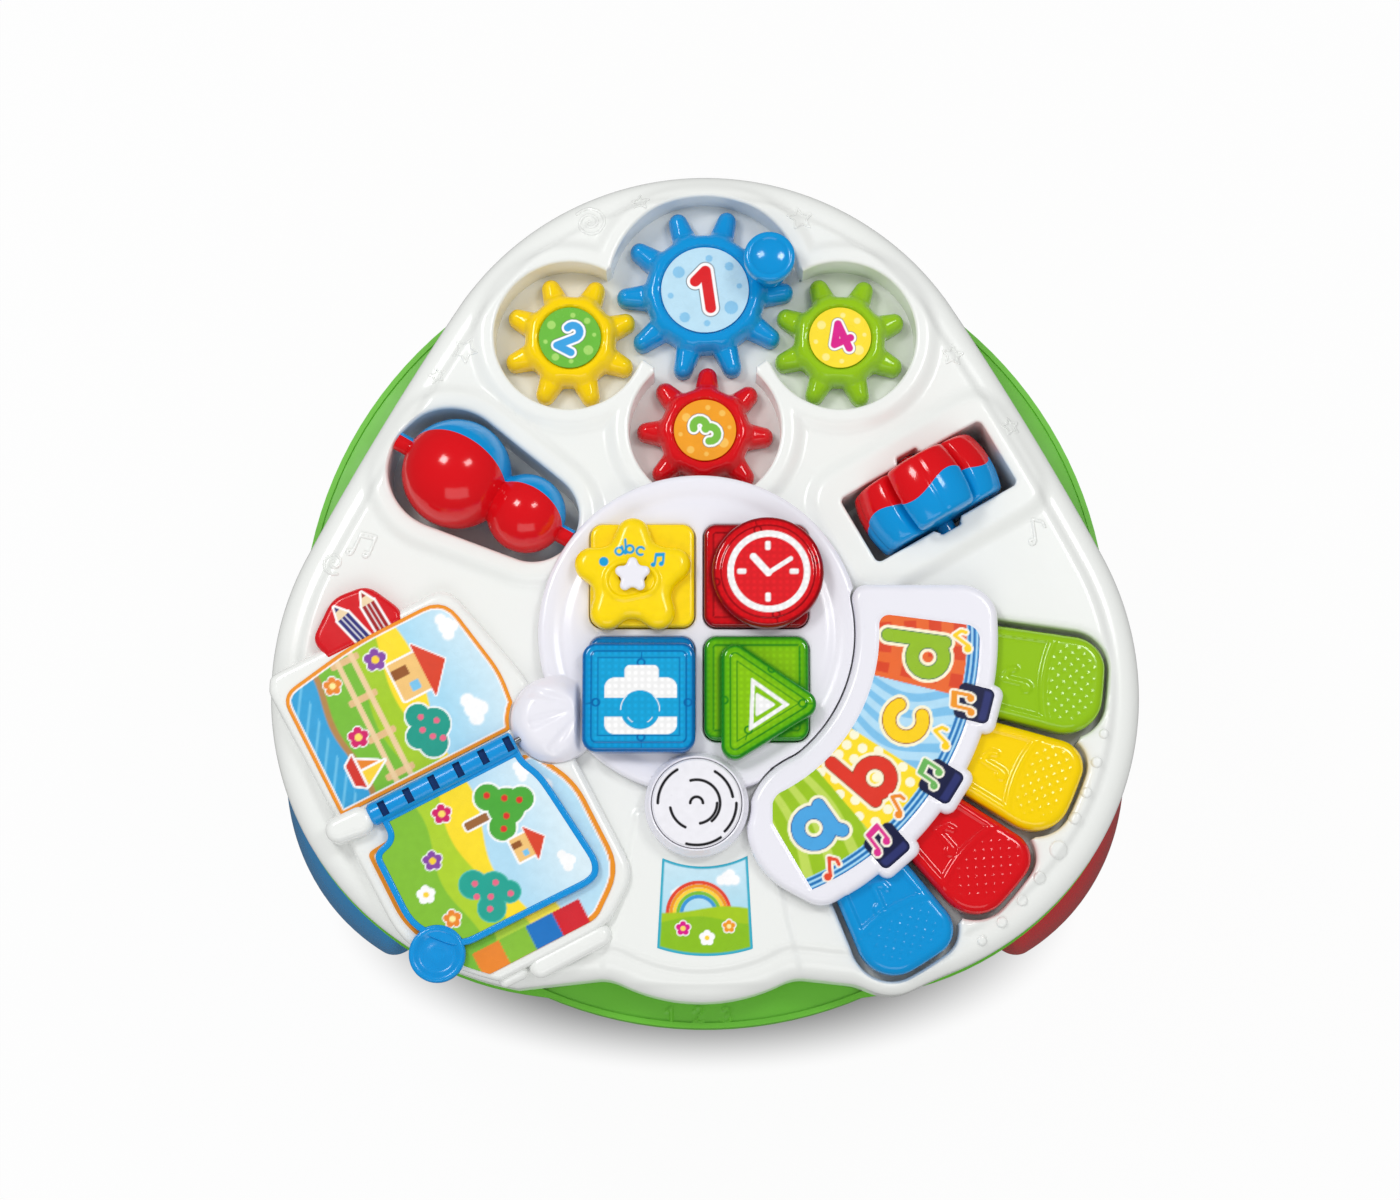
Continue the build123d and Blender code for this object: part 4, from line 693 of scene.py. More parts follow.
def tongue(x, y):
    """Raised tongue at the front that carries the label: a waisted polygon with round corners."""
    return polygon(x, y, [(-31, -100), (27, -100), (36, -150), (44, -178), (-48, -178), (-39, -150)]) + 5.0


print("middle of the ball's well:", round(float(ball_well(-104.5, 58.3)), 1), "mm inside")

# %% [markdown]
# The deck's face has three levels. Its outer band is a step lower, soft ridges 4 mm high run round
# the wells, and a tongue at the front carries the label. The plate has a hole for each well, and
# every border gets the rounding that it has on the real moulding, from 1.5 to 11 mm. Under the
# round cover it lies 5 mm lower, where nobody sees it, so that the two never cross.

# %% Moulding with several borders
def rounding(d, width, drop=None):
    """Fall of a round edge at a distance inside it: a quarter circle, or ellipse when a drop is given."""
    return (width if drop is None else drop) * (np.sqrt(1 - np.clip(1 - d / width, 0, 1) ** 2) - 1)


def rows_left(inset, rows):
    """What is left to the outline in each row of a rim: inset times one minus the sine of 0 to 90."""
    return inset * (1 - np.sin(np.linspace(0, math.pi / 2, rows + 1)[1:]))[:, None]


def nearest_border(borders, x, y):
    """Distance to the nearest border, with that border's radius and the foot of its wall."""
    distances = np.array([border(x, y) for border, _, _ in borders])
    first = distances.argmin(0)
    return distances.min(0), *(np.array([row[k] for row in borders])[first] for k in (1, 2))


def rounded_face(top, borders, x, y):
    """Height of the top, less the fall of the round edge along every border."""
    return top(x, y) + sum(rounding(border(x, y), radius) for border, radius, _ in borders)


def moulding(top, borders, inset, step, box, rows, closed):
    """Plate inside several borders, whose rim rows run down the rest of each quarter circle."""
    left = rows_left(inset, rows)

    def rim(x, y, z):
        radius = nearest_border(borders, x, y)[1]
        return (inset - left) * np.ones_like(x), z + rounding(left, radius) - rounding(inset, radius)
    return plate(lambda x, y: nearest_border(borders, x, y)[0] - inset,
                 lambda x, y: rounded_face(top, borders, x, y), step, box, rim,
                 lambda x, y: nearest_border(borders, x, y)[2], closed)


print("a 3 mm edge falls", float(-rounding(0.0, 3.0)), "mm at its border")

# %% [markdown]
# With that, the deck needs only its height and its list of borders.


# %% Deck
def deck_top(x, y):
    """Height of the deck's face: an eased step, eased ridges and the tongue."""
    d = deck_inside(x, y)
    step = BAND_TOP + 3.0 * ease(d, 11.5, 16.5)
    ridge = np.maximum(1 - ease(-gear_wells(x, y), 5.5, 13.0), 1 - ease(-ball_well(x, y), 6.5, 14.0))
    ridge = np.maximum(ridge, 1 - ease(-roller_window(x, y), 10.5, 19.0))
    under_cover = 5.0 * ease(circle(x, y, COVER, 73.0), 0.0, 3.0)
    return step + 4.0 * ridge * ease(d, 3.0, 14.0) + 1.5 * ease(tongue(x, y), 0.0, 4.0) - under_cover


def around(well):
    """Distance outside a well."""
    return lambda x, y: -well(x, y)


# Each border: distance inside it, radius of its edge, foot of its wall.
BORDERS = ((deck_inside, 11.0, 296.0), (around(gear_wells), 2.0, 314.0), (around(ball_well), 2.6, 302.0),
           (around(roller_well), 1.5, 284.0), (around(basin), 3.0, 316.0))


def deck_face(x, y):
    """Height of the finished face, which the reliefs need again."""
    return rounded_face(deck_top, BORDERS, x, y)


deck_points = moulding(deck_top, BORDERS, 1.4, 1.2, (-220, -205, 220, 225), 5, False)
piece("deck", *deck_points, ABS["white"], node="top_deck", slot="deck_white")

# %% [markdown]
# The wells have flat floors. Each is a thin plate that reaches 0.6 mm into the wall around it, so
# no gap shows at its edge.

# %% Well floors
FLOORS = ((gear_wells, 314.3, (-110, 40, 110, 215), 312.5), (ball_well, 302.3, (-160, 15, -55, 110), 300.5),
          (roller_well, 284.4, (60, 5, 160, 115), 283.5), (basin, 316.3, (40, -205, 205, 25), 314.5))
well_floors = [plate(lambda x, y: well(x, y) + 0.6, top, 3.0, box, quarter(0.2, rows=1), foot)
               for well, top, box, foot in FLOORS]
piece("deck_floors", *joined(*well_floors), ABS["white"], node="top_deck", slot="deck_white")


# %% [markdown]
# ## Rounded solids
# Fingers, caps and keys have no flat wall at all: their whole edge is one curve. The helper below
# lowers a plate's face by a quarter of an ellipse near its outline, and ends with a few close rows
# where the curve turns down steeply. Turned parts, such as the knob, are a profile swept round.

# %% Domed plates
def domed(outline, top, edge, step, box, foot, rows=5):
    """Plate with a curved edge: height = top + rounding of the distance inside by edge's two radii."""
    left = rows_left(step, rows)

    def level(x, y):
        return top(x, y) if callable(top) else np.full(np.shape(x), float(top))

    def face(x, y):
        return level(x, y) + rounding(outline(x, y), *edge)

    def rim(x, y, z):
        return (step - left) * np.ones_like(x), level(x, y) + rounding(left, *edge)
    return plate(lambda x, y: outline(x, y) - step, face, step, box, rim, foot)


# %% Turned solids
def revolved(profile, centre, segments=72, start=0.0, sweep=360.0):
    """Points and faces of a profile of (radius, height) pairs turned about an upright line."""
    profile = np.asarray(profile, float)
    turn = np.radians(start + np.linspace(0, sweep, segments, endpoint=False))
    x = centre[0] + profile[:, :1] * np.cos(turn)
    y = centre[1] + profile[:, :1] * np.sin(turn)
    z = np.repeat(profile[:, 1:], segments, 1)
    points = np.stack([x, y, z], -1).reshape(-1, 3)
    number = np.arange(len(points)).reshape(x.shape)
    right = np.roll(number, -1, 1)
    faces = np.stack([number[:-1], right[:-1], right[1:], number[1:]], -1).reshape(-1, 4)
    caps = [number[0][None, ::-1], number[-1][None]]
    return points, [faces] + caps


def curve(centre, radius, first, last, steps=10):
    """Points of an arc by its centre, radius and two directions."""
    return [on_circle(centre, radius, degrees) for degrees in np.linspace(first, last, steps)]


print("the knob's lip has", len(curve((10.3, 349.5), 2.25, 110, -10, 9)), "points")

# %% [markdown]
# ## Finger gears
# Each finger is the hull of two circles, wider at its root, with a fully rounded back. The hub is a
# soft ring round the recess of the printed disc. The phases are the ones that mesh.

# %% Gears
def finger_gear(name):
    """Fingers fall off in a 4.6 by 7 mm quarter ellipse; the hub ring is a cosine bump on top."""
    centre, teeth, tip, root, phase, recess = GEARS[name]
    middle = (recess + root) / 2 - 0.6

    def outline(x, y):
        far = circle(x, y, centre, root)
        for k in range(teeth):
            angle = phase + 360.0 / teeth * k
            ends = on_circle(centre, root - 3, angle), on_circle(centre, tip - 4.8, angle)
            far = smooth_max(far, capsule(x, y, *ends, 6.6, 4.8), 1.6)
        return far

    def crown(x, y):
        r = polar(x, y, centre)[0]
        back = FINGER_TOP - 1.6 * ease(r, root, tip)
        outwards = np.clip((r - middle) / (root - middle + 1.2), -1, 1)
        ring = 325.4 + 5.5 * np.cos(outwards * math.pi / 2) ** 0.8
        inwards = 330.9 - 2.2 * ease(middle - r, middle - recess - 1.2, middle - recess)
        ring = np.where(r < middle, inwards, ring)
        return smooth_max(back, ring, 1.2)

    return domed(outline, crown, (4.6, 7.0), 0.75, square(centre, tip + 2), 315.2)


COLOUR_SLOT = {"blue": "blue", "yellow": "yellow", "green": "lime", "red": "red"}
for name in GEARS:
    slot = COLOUR_SLOT[name]
    piece("finger_gear_" + name, *finger_gear(name), ABS[slot], name + "_gear", "gear_" + name, slot)

# %% [markdown]
# The crank knob is a small dished button with a rolled lip. It turns on a boss of the blue gear,
# between two fingers, so the boss is a piece of the gear and the knob one of its own.

# %% Crank knob
KNOB = on_circle(GEARS["blue"][0], 33.6, 20.0)
knob_profile = [(0.0, 349.1)] + [(r, 349.1 + r * r / 44.0) for r in (2.0, 4.0, 6.0, 8.0)]
knob_profile += [(9.0, 351.1)] + curve((10.3, 349.5), 2.25, 110, -10, 9) + [(12.5, 345.0)]
knob_profile += curve((10.7, 344.6), 1.8, 0, -90, 5) + [(9.7, 342.6), (9.6, 337.0), (0.0, 336.9)]
piece("crank_knob", *revolved(knob_profile[::-1], KNOB), ABS["blue"], "crank_knob", "gear_knob", "blue")
boss_profile = [(9.4, 326.4), (9.4, 335.4), (8.6, 336.2), (0.0, 336.3)]
piece("knob_boss", *revolved(boss_profile, KNOB), ABS["blue"], "blue_gear", "gear_blue", "blue")

# %% [markdown]
# ## Printed discs and other pictures
# Pictures are painted by distances too. A picture is a fine plate whose points take a colour: each
# shape is laid over the last, opaque inside its outline and soft over a third of a millimetre.


# %% Paint
def lay(tint, colour, inside, soft=0.35):
    """Lays a colour, or a colour for each point, over a tint where the distance is positive."""
    share = np.clip(inside / soft + 0.5, 0, 1)[:, None]
    over = np.asarray(linear(colour) if isinstance(colour, str) else colour)
    return tint * (1 - share) + over * share


def plain(x, colour):
    """One colour for every point."""
    return np.tile(linear(colour), (len(x), 1))


def stroke(x, y, path, width, closed=False):
    """Distance inside a line of round-ended segments."""
    path = np.asarray(path, float)
    if closed:
        path = np.vstack([path, path[:1]])
    return width / 2 - np.min([segment(x, y, *ends) for ends in zip(path[:-1], path[1:])], 0)


def ring(x, y, centre, radius, width):
    """Distance inside a ring of a middle radius and a width."""
    return width / 2 - np.abs(polar(x, y, centre)[0] - radius)


# Each sign is a list of lines in a box one unit high.
GLYPHS = {
    "1": [[(-0.22, 0.26), (0.08, 0.5), (0.08, -0.5)]],
    "2": [curve((0.0, 0.24), 0.25, 170, -35) + [(-0.28, -0.48), (0.3, -0.48)]],
    "3": [curve((0.0, 0.24), 0.24, 150, -80), curve((0.0, -0.24), 0.27, 80, -150)],
    "4": [[(0.14, -0.5), (0.14, 0.5), (-0.3, -0.16), (0.34, -0.16)]],
    "a": [curve((0.0, 0.0), 0.32, 0, 360, 20), [(0.34, 0.32), (0.34, -0.24), (0.44, -0.36)]],
    "b": [curve((0.0, 0.0), 0.32, 0, 360, 20), [(-0.34, 0.85), (-0.34, -0.3)]],
    "c": [curve((0.0, 0.0), 0.34, 48, 312, 16)],
    "d": [curve((0.0, 0.0), 0.32, 0, 360, 20), [(0.34, 0.85), (0.34, -0.3)]],
    "note": [[(-0.15, -0.35), (-0.05, 0.4), (0.25, 0.25), (0.3, 0.05)],
             curve((-0.27, -0.36), 0.09, 0, 360, 8)],
    "notes": [[(-0.22, -0.3), (-0.18, 0.38), (0.32, 0.44), (0.3, -0.2)], [(-0.18, 0.28), (0.32, 0.34)],
              curve((-0.32, -0.34), 0.08, 0, 360, 8), curve((0.2, -0.24), 0.08, 0, 360, 8)],
}


def glyph(x, y, sign, centre, size, width, degrees=0.0):
    """Distance inside a drawn letter, number or note of a given height, turned about its centre."""
    u, v = turned(x, y, centre, degrees)
    return np.max([stroke(u / size, v / size, path, width / size) for path in GLYPHS[sign]], 0) * size


print("signs that can be drawn:", sorted(GLYPHS))

# %% [markdown]
# The discs in the gears are printed. Each has a ground with pale spots and a plain number with a
# white and a dark outline, and the number is turned as its gear has been turned.

# %% Number discs
SPOTS = ((-13, 9, 3.0), (12, 12, 2.2), (13, -9, 3.4), (-10, -14, 2.6), (1, -17, 1.6), (2, 16, 1.8),
         (-17, -3, 1.5), (17, 2, 1.4))


def number_disc(name, ground, spots, ink, sign, degrees):
    """Rings of points 0.34 mm apart that carry a ground, pale spots and an outlined number."""
    centre, recess = GEARS[name][0], GEARS[name][5]
    fine = np.linspace(0.25, recess - 0.2, int(recess / 0.34))
    radii = np.concatenate([fine, [recess - 0.1, recess - 0.1]])
    profile = [(r, 330.0) for r in radii[:-2]] + [(radii[-2], 329.9), (radii[-1], 328.9)]
    points, faces = revolved(profile[::-1], centre, 180)
    x, y = points[:, 0] - centre[0], points[:, 1] - centre[1]
    scale = recess / 21.8
    tint = plain(x, ground)
    for u, v, radius in SPOTS:
        tint = lay(tint, spots, circle(x, y, (u * scale, v * scale), radius * scale))
    figure = glyph(x, y, sign, (0, 0), 19.0 * scale, 5.4 * scale, degrees)
    tint = lay(tint, "4A4A52", figure + 1.9 * scale)
    tint = lay(tint, "FFFFFF", figure + 1.5 * scale)
    tint = lay(tint, ink, figure)
    return piece("number_disc_" + name, points, faces, STICKER, name + "_gear", "gear_disc_" + name,
                 "print_white", tint)


number_disc("blue", "BFE3F5", "8CC8EC", "E3161F", "1", 8.0)
number_disc("yellow", "6CBE3C", "A8DC6C", "37A4E4", "2", -28.0)
number_disc("green", "FFE22A", "FFF08C", "E0148C", "4", 24.0)
number_disc("red", "F6A21C", "FBC458", "7CC242", "3", 52.0)

# %% [markdown]
# ## Double ball and roller
# Both are turned about a lying axle and made of a red and a blue half. One grid follows the profile
# along the axle and half a turn round it, so the joint face is exactly where the colours meet.

# %% Lying frames
def lying(along, out, height, centre, degrees):
    """Deck points from a place on the axle, a distance to the side and a height above it."""
    c, s = math.cos(math.radians(degrees)), math.sin(math.radians(degrees))
    x, y = centre[0] + along * c - out * s, centre[1] + along * s + out * c
    return np.stack([x, y, centre[2] + height], -1)


def sheet(number):
    """Quads between the neighbours of a grid of point numbers."""
    corners = [number[:-1, :-1], number[1:, :-1], number[1:, 1:], number[:-1, 1:]]
    return np.stack(corners, -1).reshape(-1, 4)


def half_turn(along, radius, start, centre, degrees, steps=49):
    """Closed half of a turned solid. radius is a row along the axle, or a grid for each direction."""
    turn = np.radians(start + np.linspace(0, 180, steps))[None, :]
    radius = radius if radius.ndim == 2 else radius[:, None] * np.ones_like(turn)
    length = np.broadcast_to(along[:, None], radius.shape)
    points = lying(length, radius * np.cos(turn), radius * np.sin(turn), centre, degrees).reshape(-1, 3)
    number = np.arange(len(points)).reshape(radius.shape)
    flat = np.stack([number[:-1, -1], number[1:, -1], number[1:, 0], number[:-1, 0]], -1)
    return points, [sheet(number), flat, number[:1], number[-1:, ::-1]]


print("10 mm along an axle at 30 degrees:", lying(10.0, 0.0, 0.0, (0, 0, 0), 30.0).round(2))

# %% [markdown]
# The double ball is two balls run into one. Its profile takes the larger of two spheres with a soft
# hollow between. The real axle ends inside the deck's wall; here a pin stands for it that ends just
# outside the stubs, since the full one would show above the deck's rounded edge.

# %% Double ball
BALL_CENTRE, BALL_TURN, JOINT = (-104.5, 58.3, 331.0), -30.0, 56.1
BIG_AT, BIG, SMALL_AT, SMALL = -19.7, 27.0, 19.7, 19.5


def ball_profile():
    """Two spheres joined by a small hollow, with a stub of 4.6 mm at each end."""
    low, high = BIG_AT - BIG - 6.6, SMALL_AT + SMALL + 6.0
    near_end = np.cos(np.linspace(0, 0.7, 12))
    along = np.unique(np.concatenate([np.linspace(low, high, 90), BIG_AT - BIG * near_end,
                                      SMALL_AT + SMALL * near_end]))
    big = np.sqrt(np.maximum(BIG ** 2 - (along - BIG_AT) ** 2, 0))
    small = np.sqrt(np.maximum(SMALL ** 2 - (along - SMALL_AT) ** 2, 0))
    return along, np.maximum(smooth_max(big, small, 2.2), 4.6)


along, radius = ball_profile()
halves = (("red", JOINT), ("blue", JOINT - 180.0))
for name, start in halves:
    points, faces = half_turn(along, radius, start, BALL_CENTRE, BALL_TURN)
    piece("ball_half_" + name, points, faces, ABS[name], "double_ball", "ball_half_" + name, name)
pin_along = np.linspace(-52.8, 44.6, 8)
pin_radius = np.array([1.6] + [2.0] * 6 + [1.6])
pin = joined(*[half_turn(pin_along, pin_radius, start, BALL_CENTRE, BALL_TURN) for _, start in halves])
piece("ball_pin", *pin, ABS["dark"], "double_ball", "ball_axle", "steel")

# %% [markdown]
# The roller is a bar with five petals, and each petal has a soft crease in its middle. Its red and
# blue half meet in a line that wanders from side to side, as the real joint does. A radius for each
# direction gives the petals, and a shift of the joint's row gives that line.

# %% Roller
HALF_LONG = 16.4


def roller_radius(turn):
    """Five petals: each rises fast from the groove, is nearly flat and has a crease in its middle."""
    share = (turn / 72.0 + 0.5) % 1.0 * 2 - 1
    petal = 36.0 - 5.6 * np.abs(share) ** 2.6 - 4.4 * np.clip((np.abs(share) - 0.86) / 0.14, 0, 1) ** 1.5
    return petal - 0.7 * np.exp(-(share / 0.07) ** 2)


def roller_half(side):
    """Half of the roller: the joint wanders 3 mm across each petal, and the ends are rounded off."""
    turn = np.linspace(0, 360, 361)
    c, s = np.cos(np.radians(turn)), np.sin(np.radians(turn))
    joint = 3.0 * np.sin(np.radians(5 * (turn - 90.0)))
    share = np.array([0.0, 0.15, 0.3, 0.45, 0.6, 0.72, 0.82, 0.9, 0.95, 0.98, 1.0])[:, None]
    reach = joint + (side * HALF_LONG - joint) * share
    barrel = roller_radius(turn - 90.0)[None] - 3.2 * (np.abs(reach) / HALF_LONG) ** 2.2
    barrel = barrel - 1.8 * np.clip((share - 0.9) / 0.1, 0, 1) ** 2
    stub = [(side * 16.5, 16.0), (side * 16.6, 4.7), (side * 21.4, 4.6), (side * 21.5, 0.3)]
    rows = [(joint, 0.3), *zip(reach, barrel), *stub]
    grid = np.stack([lying(along, size * c, size * s, ROLLER_CENTRE, 120.0) for along, size in rows])
    faces = sheet(np.arange(grid.shape[0] * grid.shape[1]).reshape(grid.shape[:2]).T)
    return grid.reshape(-1, 3), [faces if side < 0 else faces[:, ::-1]]


ROLLER_CENTRE = (*ROLLER, 322.0)
for name, side in (("red", 1), ("blue", -1)):
    half = "roller_half_" + name
    piece(half, *roller_half(side), ABS[name], "flower_roller", half, name, sharp=28.0)


# %% [markdown]
# ## Round cover and speaker
# The cover is a round plate with a raised crest, four square windows and two lobes: a fan with
# hollow flutes where the book's hinge ends, and a round one with the speaker's swirl of slots.

# %% Cover outlines
def windows(x, y):
    """The four square windows of the buttons."""
    return np.max([rounded_box(x, y, centre, (51.2, 51.2), 6.4) for centre in BUTTONS.values()], 0)


def panel_inside(x, y):
    """Letter panel: a slice of a ring with a round lower end and three square bumps."""
    r, turn = polar(x, y, COVER)
    start = 11.8 - y
    body = np.minimum(rounded_meet(start, 144.5 - r, 16.0), rounded_meet(start, r - 75.5, 9.0))
    body = np.minimum(body, r * np.sin(np.radians(turn + 61.0)))
    body = smooth_max(body, capsule(x, y, (55.0, -105.0), (55.7, -129.2), 35.0, 14.0), 1.5)
    for angle in (-14.9, -32.0, -48.8):
        bump = rounded_box(x, y, on_circle(COVER, 137.5, angle), (24.0, 24.0), 5.0, angle)
        body = smooth_max(body, bump, 1.5)
    return np.minimum(body, -circle(x, y, SPEAKER, 26.0))


def cover_outline(x, y):
    """The plate and its two lobes."""
    return np.max([circle(x, y, COVER, 78.0), circle(x, y, SCALLOP, 21.0), circle(x, y, SPEAKER, 25.0)], 0)


print("middle of the star's window:", round(float(windows(*BUTTONS["star"])), 1), "mm inside")

# %% [markdown]
# The cover's height is a flat plate. Where a lobe stands higher, the lobe wins, and near the camera
# button the scalloped one fades out, because the real one passes under that cap.


# %% Cover
def cover_top(x, y):
    """Plate with a groove at 66.5 mm, and two lobes that rise 6 mm in a round shoulder."""
    face = COVER_TOP - 1.0 * np.exp(-((polar(x, y, COVER)[0] - 66.5) / 3.4) ** 2)
    fan = circle(x, y, SCALLOP, 21.0)
    u, v = turned(x, y, (-58.0, -48.0), 200.0)
    spread, angle = np.hypot(u, v), np.arctan2(v, u)
    shell = np.maximum(np.cos(angle * 10.3), 0) ** 1.5 * (np.abs(angle) < 0.86)
    flutes = -1.3 * shell * ease(spread, 5.0, 19.0) * ease(28.5 - spread, 0.0, 1.8)
    rise = 6.4 * np.sin(math.pi / 2 * np.clip(fan / 9.5, 0, 1)) + flutes * (fan > 0)
    rise *= ease(-rounded_box(x, y, CAPS["camera"], (54.3, 52.8), 6.0), 1.4, 3.4)
    speaker = 6.0 * np.sin(math.pi / 2 * np.clip(circle(x, y, SPEAKER, 25.0) / 3.2, 0, 1))
    return np.maximum(face + rise, face + speaker)


COVER_BORDERS = ((cover_outline, 3.0, 332.2), (around(windows), 1.0, 338.0),
                 (lambda x, y: -panel_inside(x, y) - 0.7, 0.5, 338.0),
                 (lambda x, y: -circle(x, y, SPEAKER, 21.8), 0.7, 344.0))
cover_points = moulding(cover_top, COVER_BORDERS, 0.8, 0.9, (-96, -123, 78, 68), 4, True)
piece("round_cover", *cover_points, ABS["cool"], node="module_cover", slot="module_white")

# %% [markdown]
# The speaker sits under a round plate with curved slots that swirl round its middle. The plate is
# turned with rings 0.33 mm apart, and each slot sinks the points inside it and tints them dark as
# painted shade in the slots.

# %% Speaker grille
# Each slot: its distance from the middle, and the directions where it starts and ends.
SLOTS = ((3.0, 0, 180), (11.2, -50, 105), (9.8, -80, 0), (18.5, 120, 180), (17.5, 10, 60), (19.0, -45, 0),
         (12.7, 190, 245), (20.0, 256, 305))
radii = np.concatenate([np.arange(0.1, 20.6, 0.33), [20.8, 21.1, 21.3, 21.4]])
profile = [(r, 347.6 - 0.3 * (r / 21.0) ** 2 - 1.2 * max(r - 20.6, 0)) for r in radii] + [(21.4, 344.2)]
points, faces = revolved(profile[::-1], SPEAKER, 360)
x, y = points[:, 0] - SPEAKER[0], points[:, 1] - SPEAKER[1]
r, turn = polar(x, y, (0, 0))
tint = plain(x, "F1F0F6")
for radius, first, last in SLOTS:
    middle, half = (first + last) / 2, (last - first) / 2
    side = np.abs((turn - middle + 180) % 360 - 180) - half
    slot = 0.62 - np.hypot(r - radius, np.maximum(side, 0) * math.pi / 180 * radius)
    points[:, 2] -= 1.5 * ease(slot, -0.1, 0.35)
    # Painted shade: the slots are tinted near black.
    tint = lay(tint, "26262A", slot, 0.4)
piece("speaker_swirl", points, faces, tinted("ABS_grille", 0.28), node="speaker_grille",
      slot="module_white", tint=tint)


# %% [markdown]
# ## Push buttons
# Each button is a square base with a shaped cap on it. The yellow one is solid colour, the others
# are see-through plastic drawn opaque, with painted shade at the edges and at the small ring marks
# where the mould's pins stood, and painted light on the flat, ribbed top. White figures are printed
# on them.

# %% Caps
def clock_cap(x, y):
    """Round cap."""
    return circle(x, y, CAPS["clock"], 27.0)


def camera_cap(x, y):
    """Square cap with round corners."""
    return rounded_box(x, y, CAPS["camera"], (54.3, 52.8), 7.0)


def triangle_cap(x, y):
    """Triangle that points to the right, with corners of 6.7 mm."""
    u, v = x - CAPS["triangle"][0], y - CAPS["triangle"][1]
    return polygon(u, v, [(-10.3, 21.0), (21.9, -1.1), (-10.3, -21.0)]) + 6.7


def star_cap(x, y):
    """Plump star of five arms."""
    return star(x, y, CAPS["star"], 29.1, 15.2, 8.2, 5.0)


# Each see-through button: outline, slot, body colour, painted shade colour, painted light colour.
LENS = {
    "clock": (clock_cap, "lens_red", "D90C17", "8E0610", "E8232B"),
    "camera": (camera_cap, "lens_blue", "0A97D6", "0569B0", "19A9E0"),
    "triangle": (triangle_cap, "lens_green", "63B80F", "238A1C", "8CCB14"),
}
MARKS = {"clock": ((25.4, 36.4), (5.4, 10.9), (34.2, -4.9), (53.4, 21.8)),
         "camera": ((-30.6, -28.3), (-52.2, -47.5), (-8.1, -47.5), (-30.6, -64.2)),
         "triangle": ((32.0, -31.2), (9.2, -46.4), (46.6, -48.0), (20.7, -60.8))}


def base_outline(name):
    """Square base of a button."""
    return lambda x, y: rounded_box(x, y, BUTTONS[name], (50.4, 50.4), 6.0)


def button_base(name):
    """Flat top with an edge rounded by 2 mm."""
    return domed(base_outline(name), BASE_TOP, (2.0, 2.0), 0.9, square(BUTTONS[name], 26), 336.0)


print("pin marks on each cap:", {name: len(marks) for name, marks in MARKS.items()})

# %% [markdown]
# The white figures are printed on the caps. A camera is a body with a hump, cut by a band and a
# lens that keeps two thin glints; a clock is a ring with ticks and two hands; the triangle is a
# line round a small filled one.

# %% Figures on the caps
def camera_figure(x, y):
    """Body, hump and lens: white parts are positive."""
    u, v = x - CAPS["camera"][0], y - CAPS["camera"][1]
    body = rounded_box(u, v, (1.0, -4.5), (34.7, 27.3), 5.0)
    hump = rounded_box(u, v, (1.4, 8.6), (16.3, 13.2), 2.6)
    white = np.maximum(body, hump)
    band = 4.6 - np.abs(v + 5.2)
    lens = circle(u, v, (0.7, -6.4), 9.4)
    white = np.minimum(white, -np.maximum(band, lens))
    far, turn = polar(u, v, (0.7, -6.4))
    glint = np.minimum(0.2 - np.abs(far - 6.9), 1.4 - 0.1 * np.abs(np.abs(turn + 90) - 45))
    rim = np.minimum(0.22 - np.abs(far - 9.3), 2.6 - 0.1 * np.abs(np.abs(turn - 90) - 68))
    return np.maximum(white, np.maximum(glint, rim))


def clock_figure(x, y):
    """Ring, two hands and four ticks."""
    u, v = x - CAPS["clock"][0], y - CAPS["clock"][1]
    parts = [ring(u, v, (0.4, 0.0), 18.4, 3.1)]
    parts += [stroke(u, v, [(0.2, -0.8), tip], width)
              for tip, width in (((-7.0, 7.2), 3.4), ((11.0, 6.2), 2.2))]
    parts += [rounded_box(u, v, on_circle((0, 0), 12.6, 90 - turn), (2.6, 4.4), 0.8, -turn)
              for turn in (0, 90, 180, 270)]
    return np.max(parts, 0)


def triangle_figure(x, y):
    """A line 1.9 mm wide round a small filled triangle."""
    outer = polygon(x, y, [(22.4, -36.2), (39.9, -48.6), (21.4, -60.8)])
    inner = polygon(x, y, soft_corners([(24.2, -42.6), (34.0, -48.6), (24.2, -54.6)], 1.5))
    return np.maximum(0.95 - np.abs(outer - 0.6), inner)


FIGURES = {"clock": clock_figure, "camera": camera_figure, "triangle": triangle_figure}
print("figures on the caps:", sorted(FIGURES))

# %% [markdown]
# In a see-through button the tint paints the light that passes through it: painted shade along the
# wall, painted light over the flat top, painted shade again in the small rings where the mould's pins
# stood.

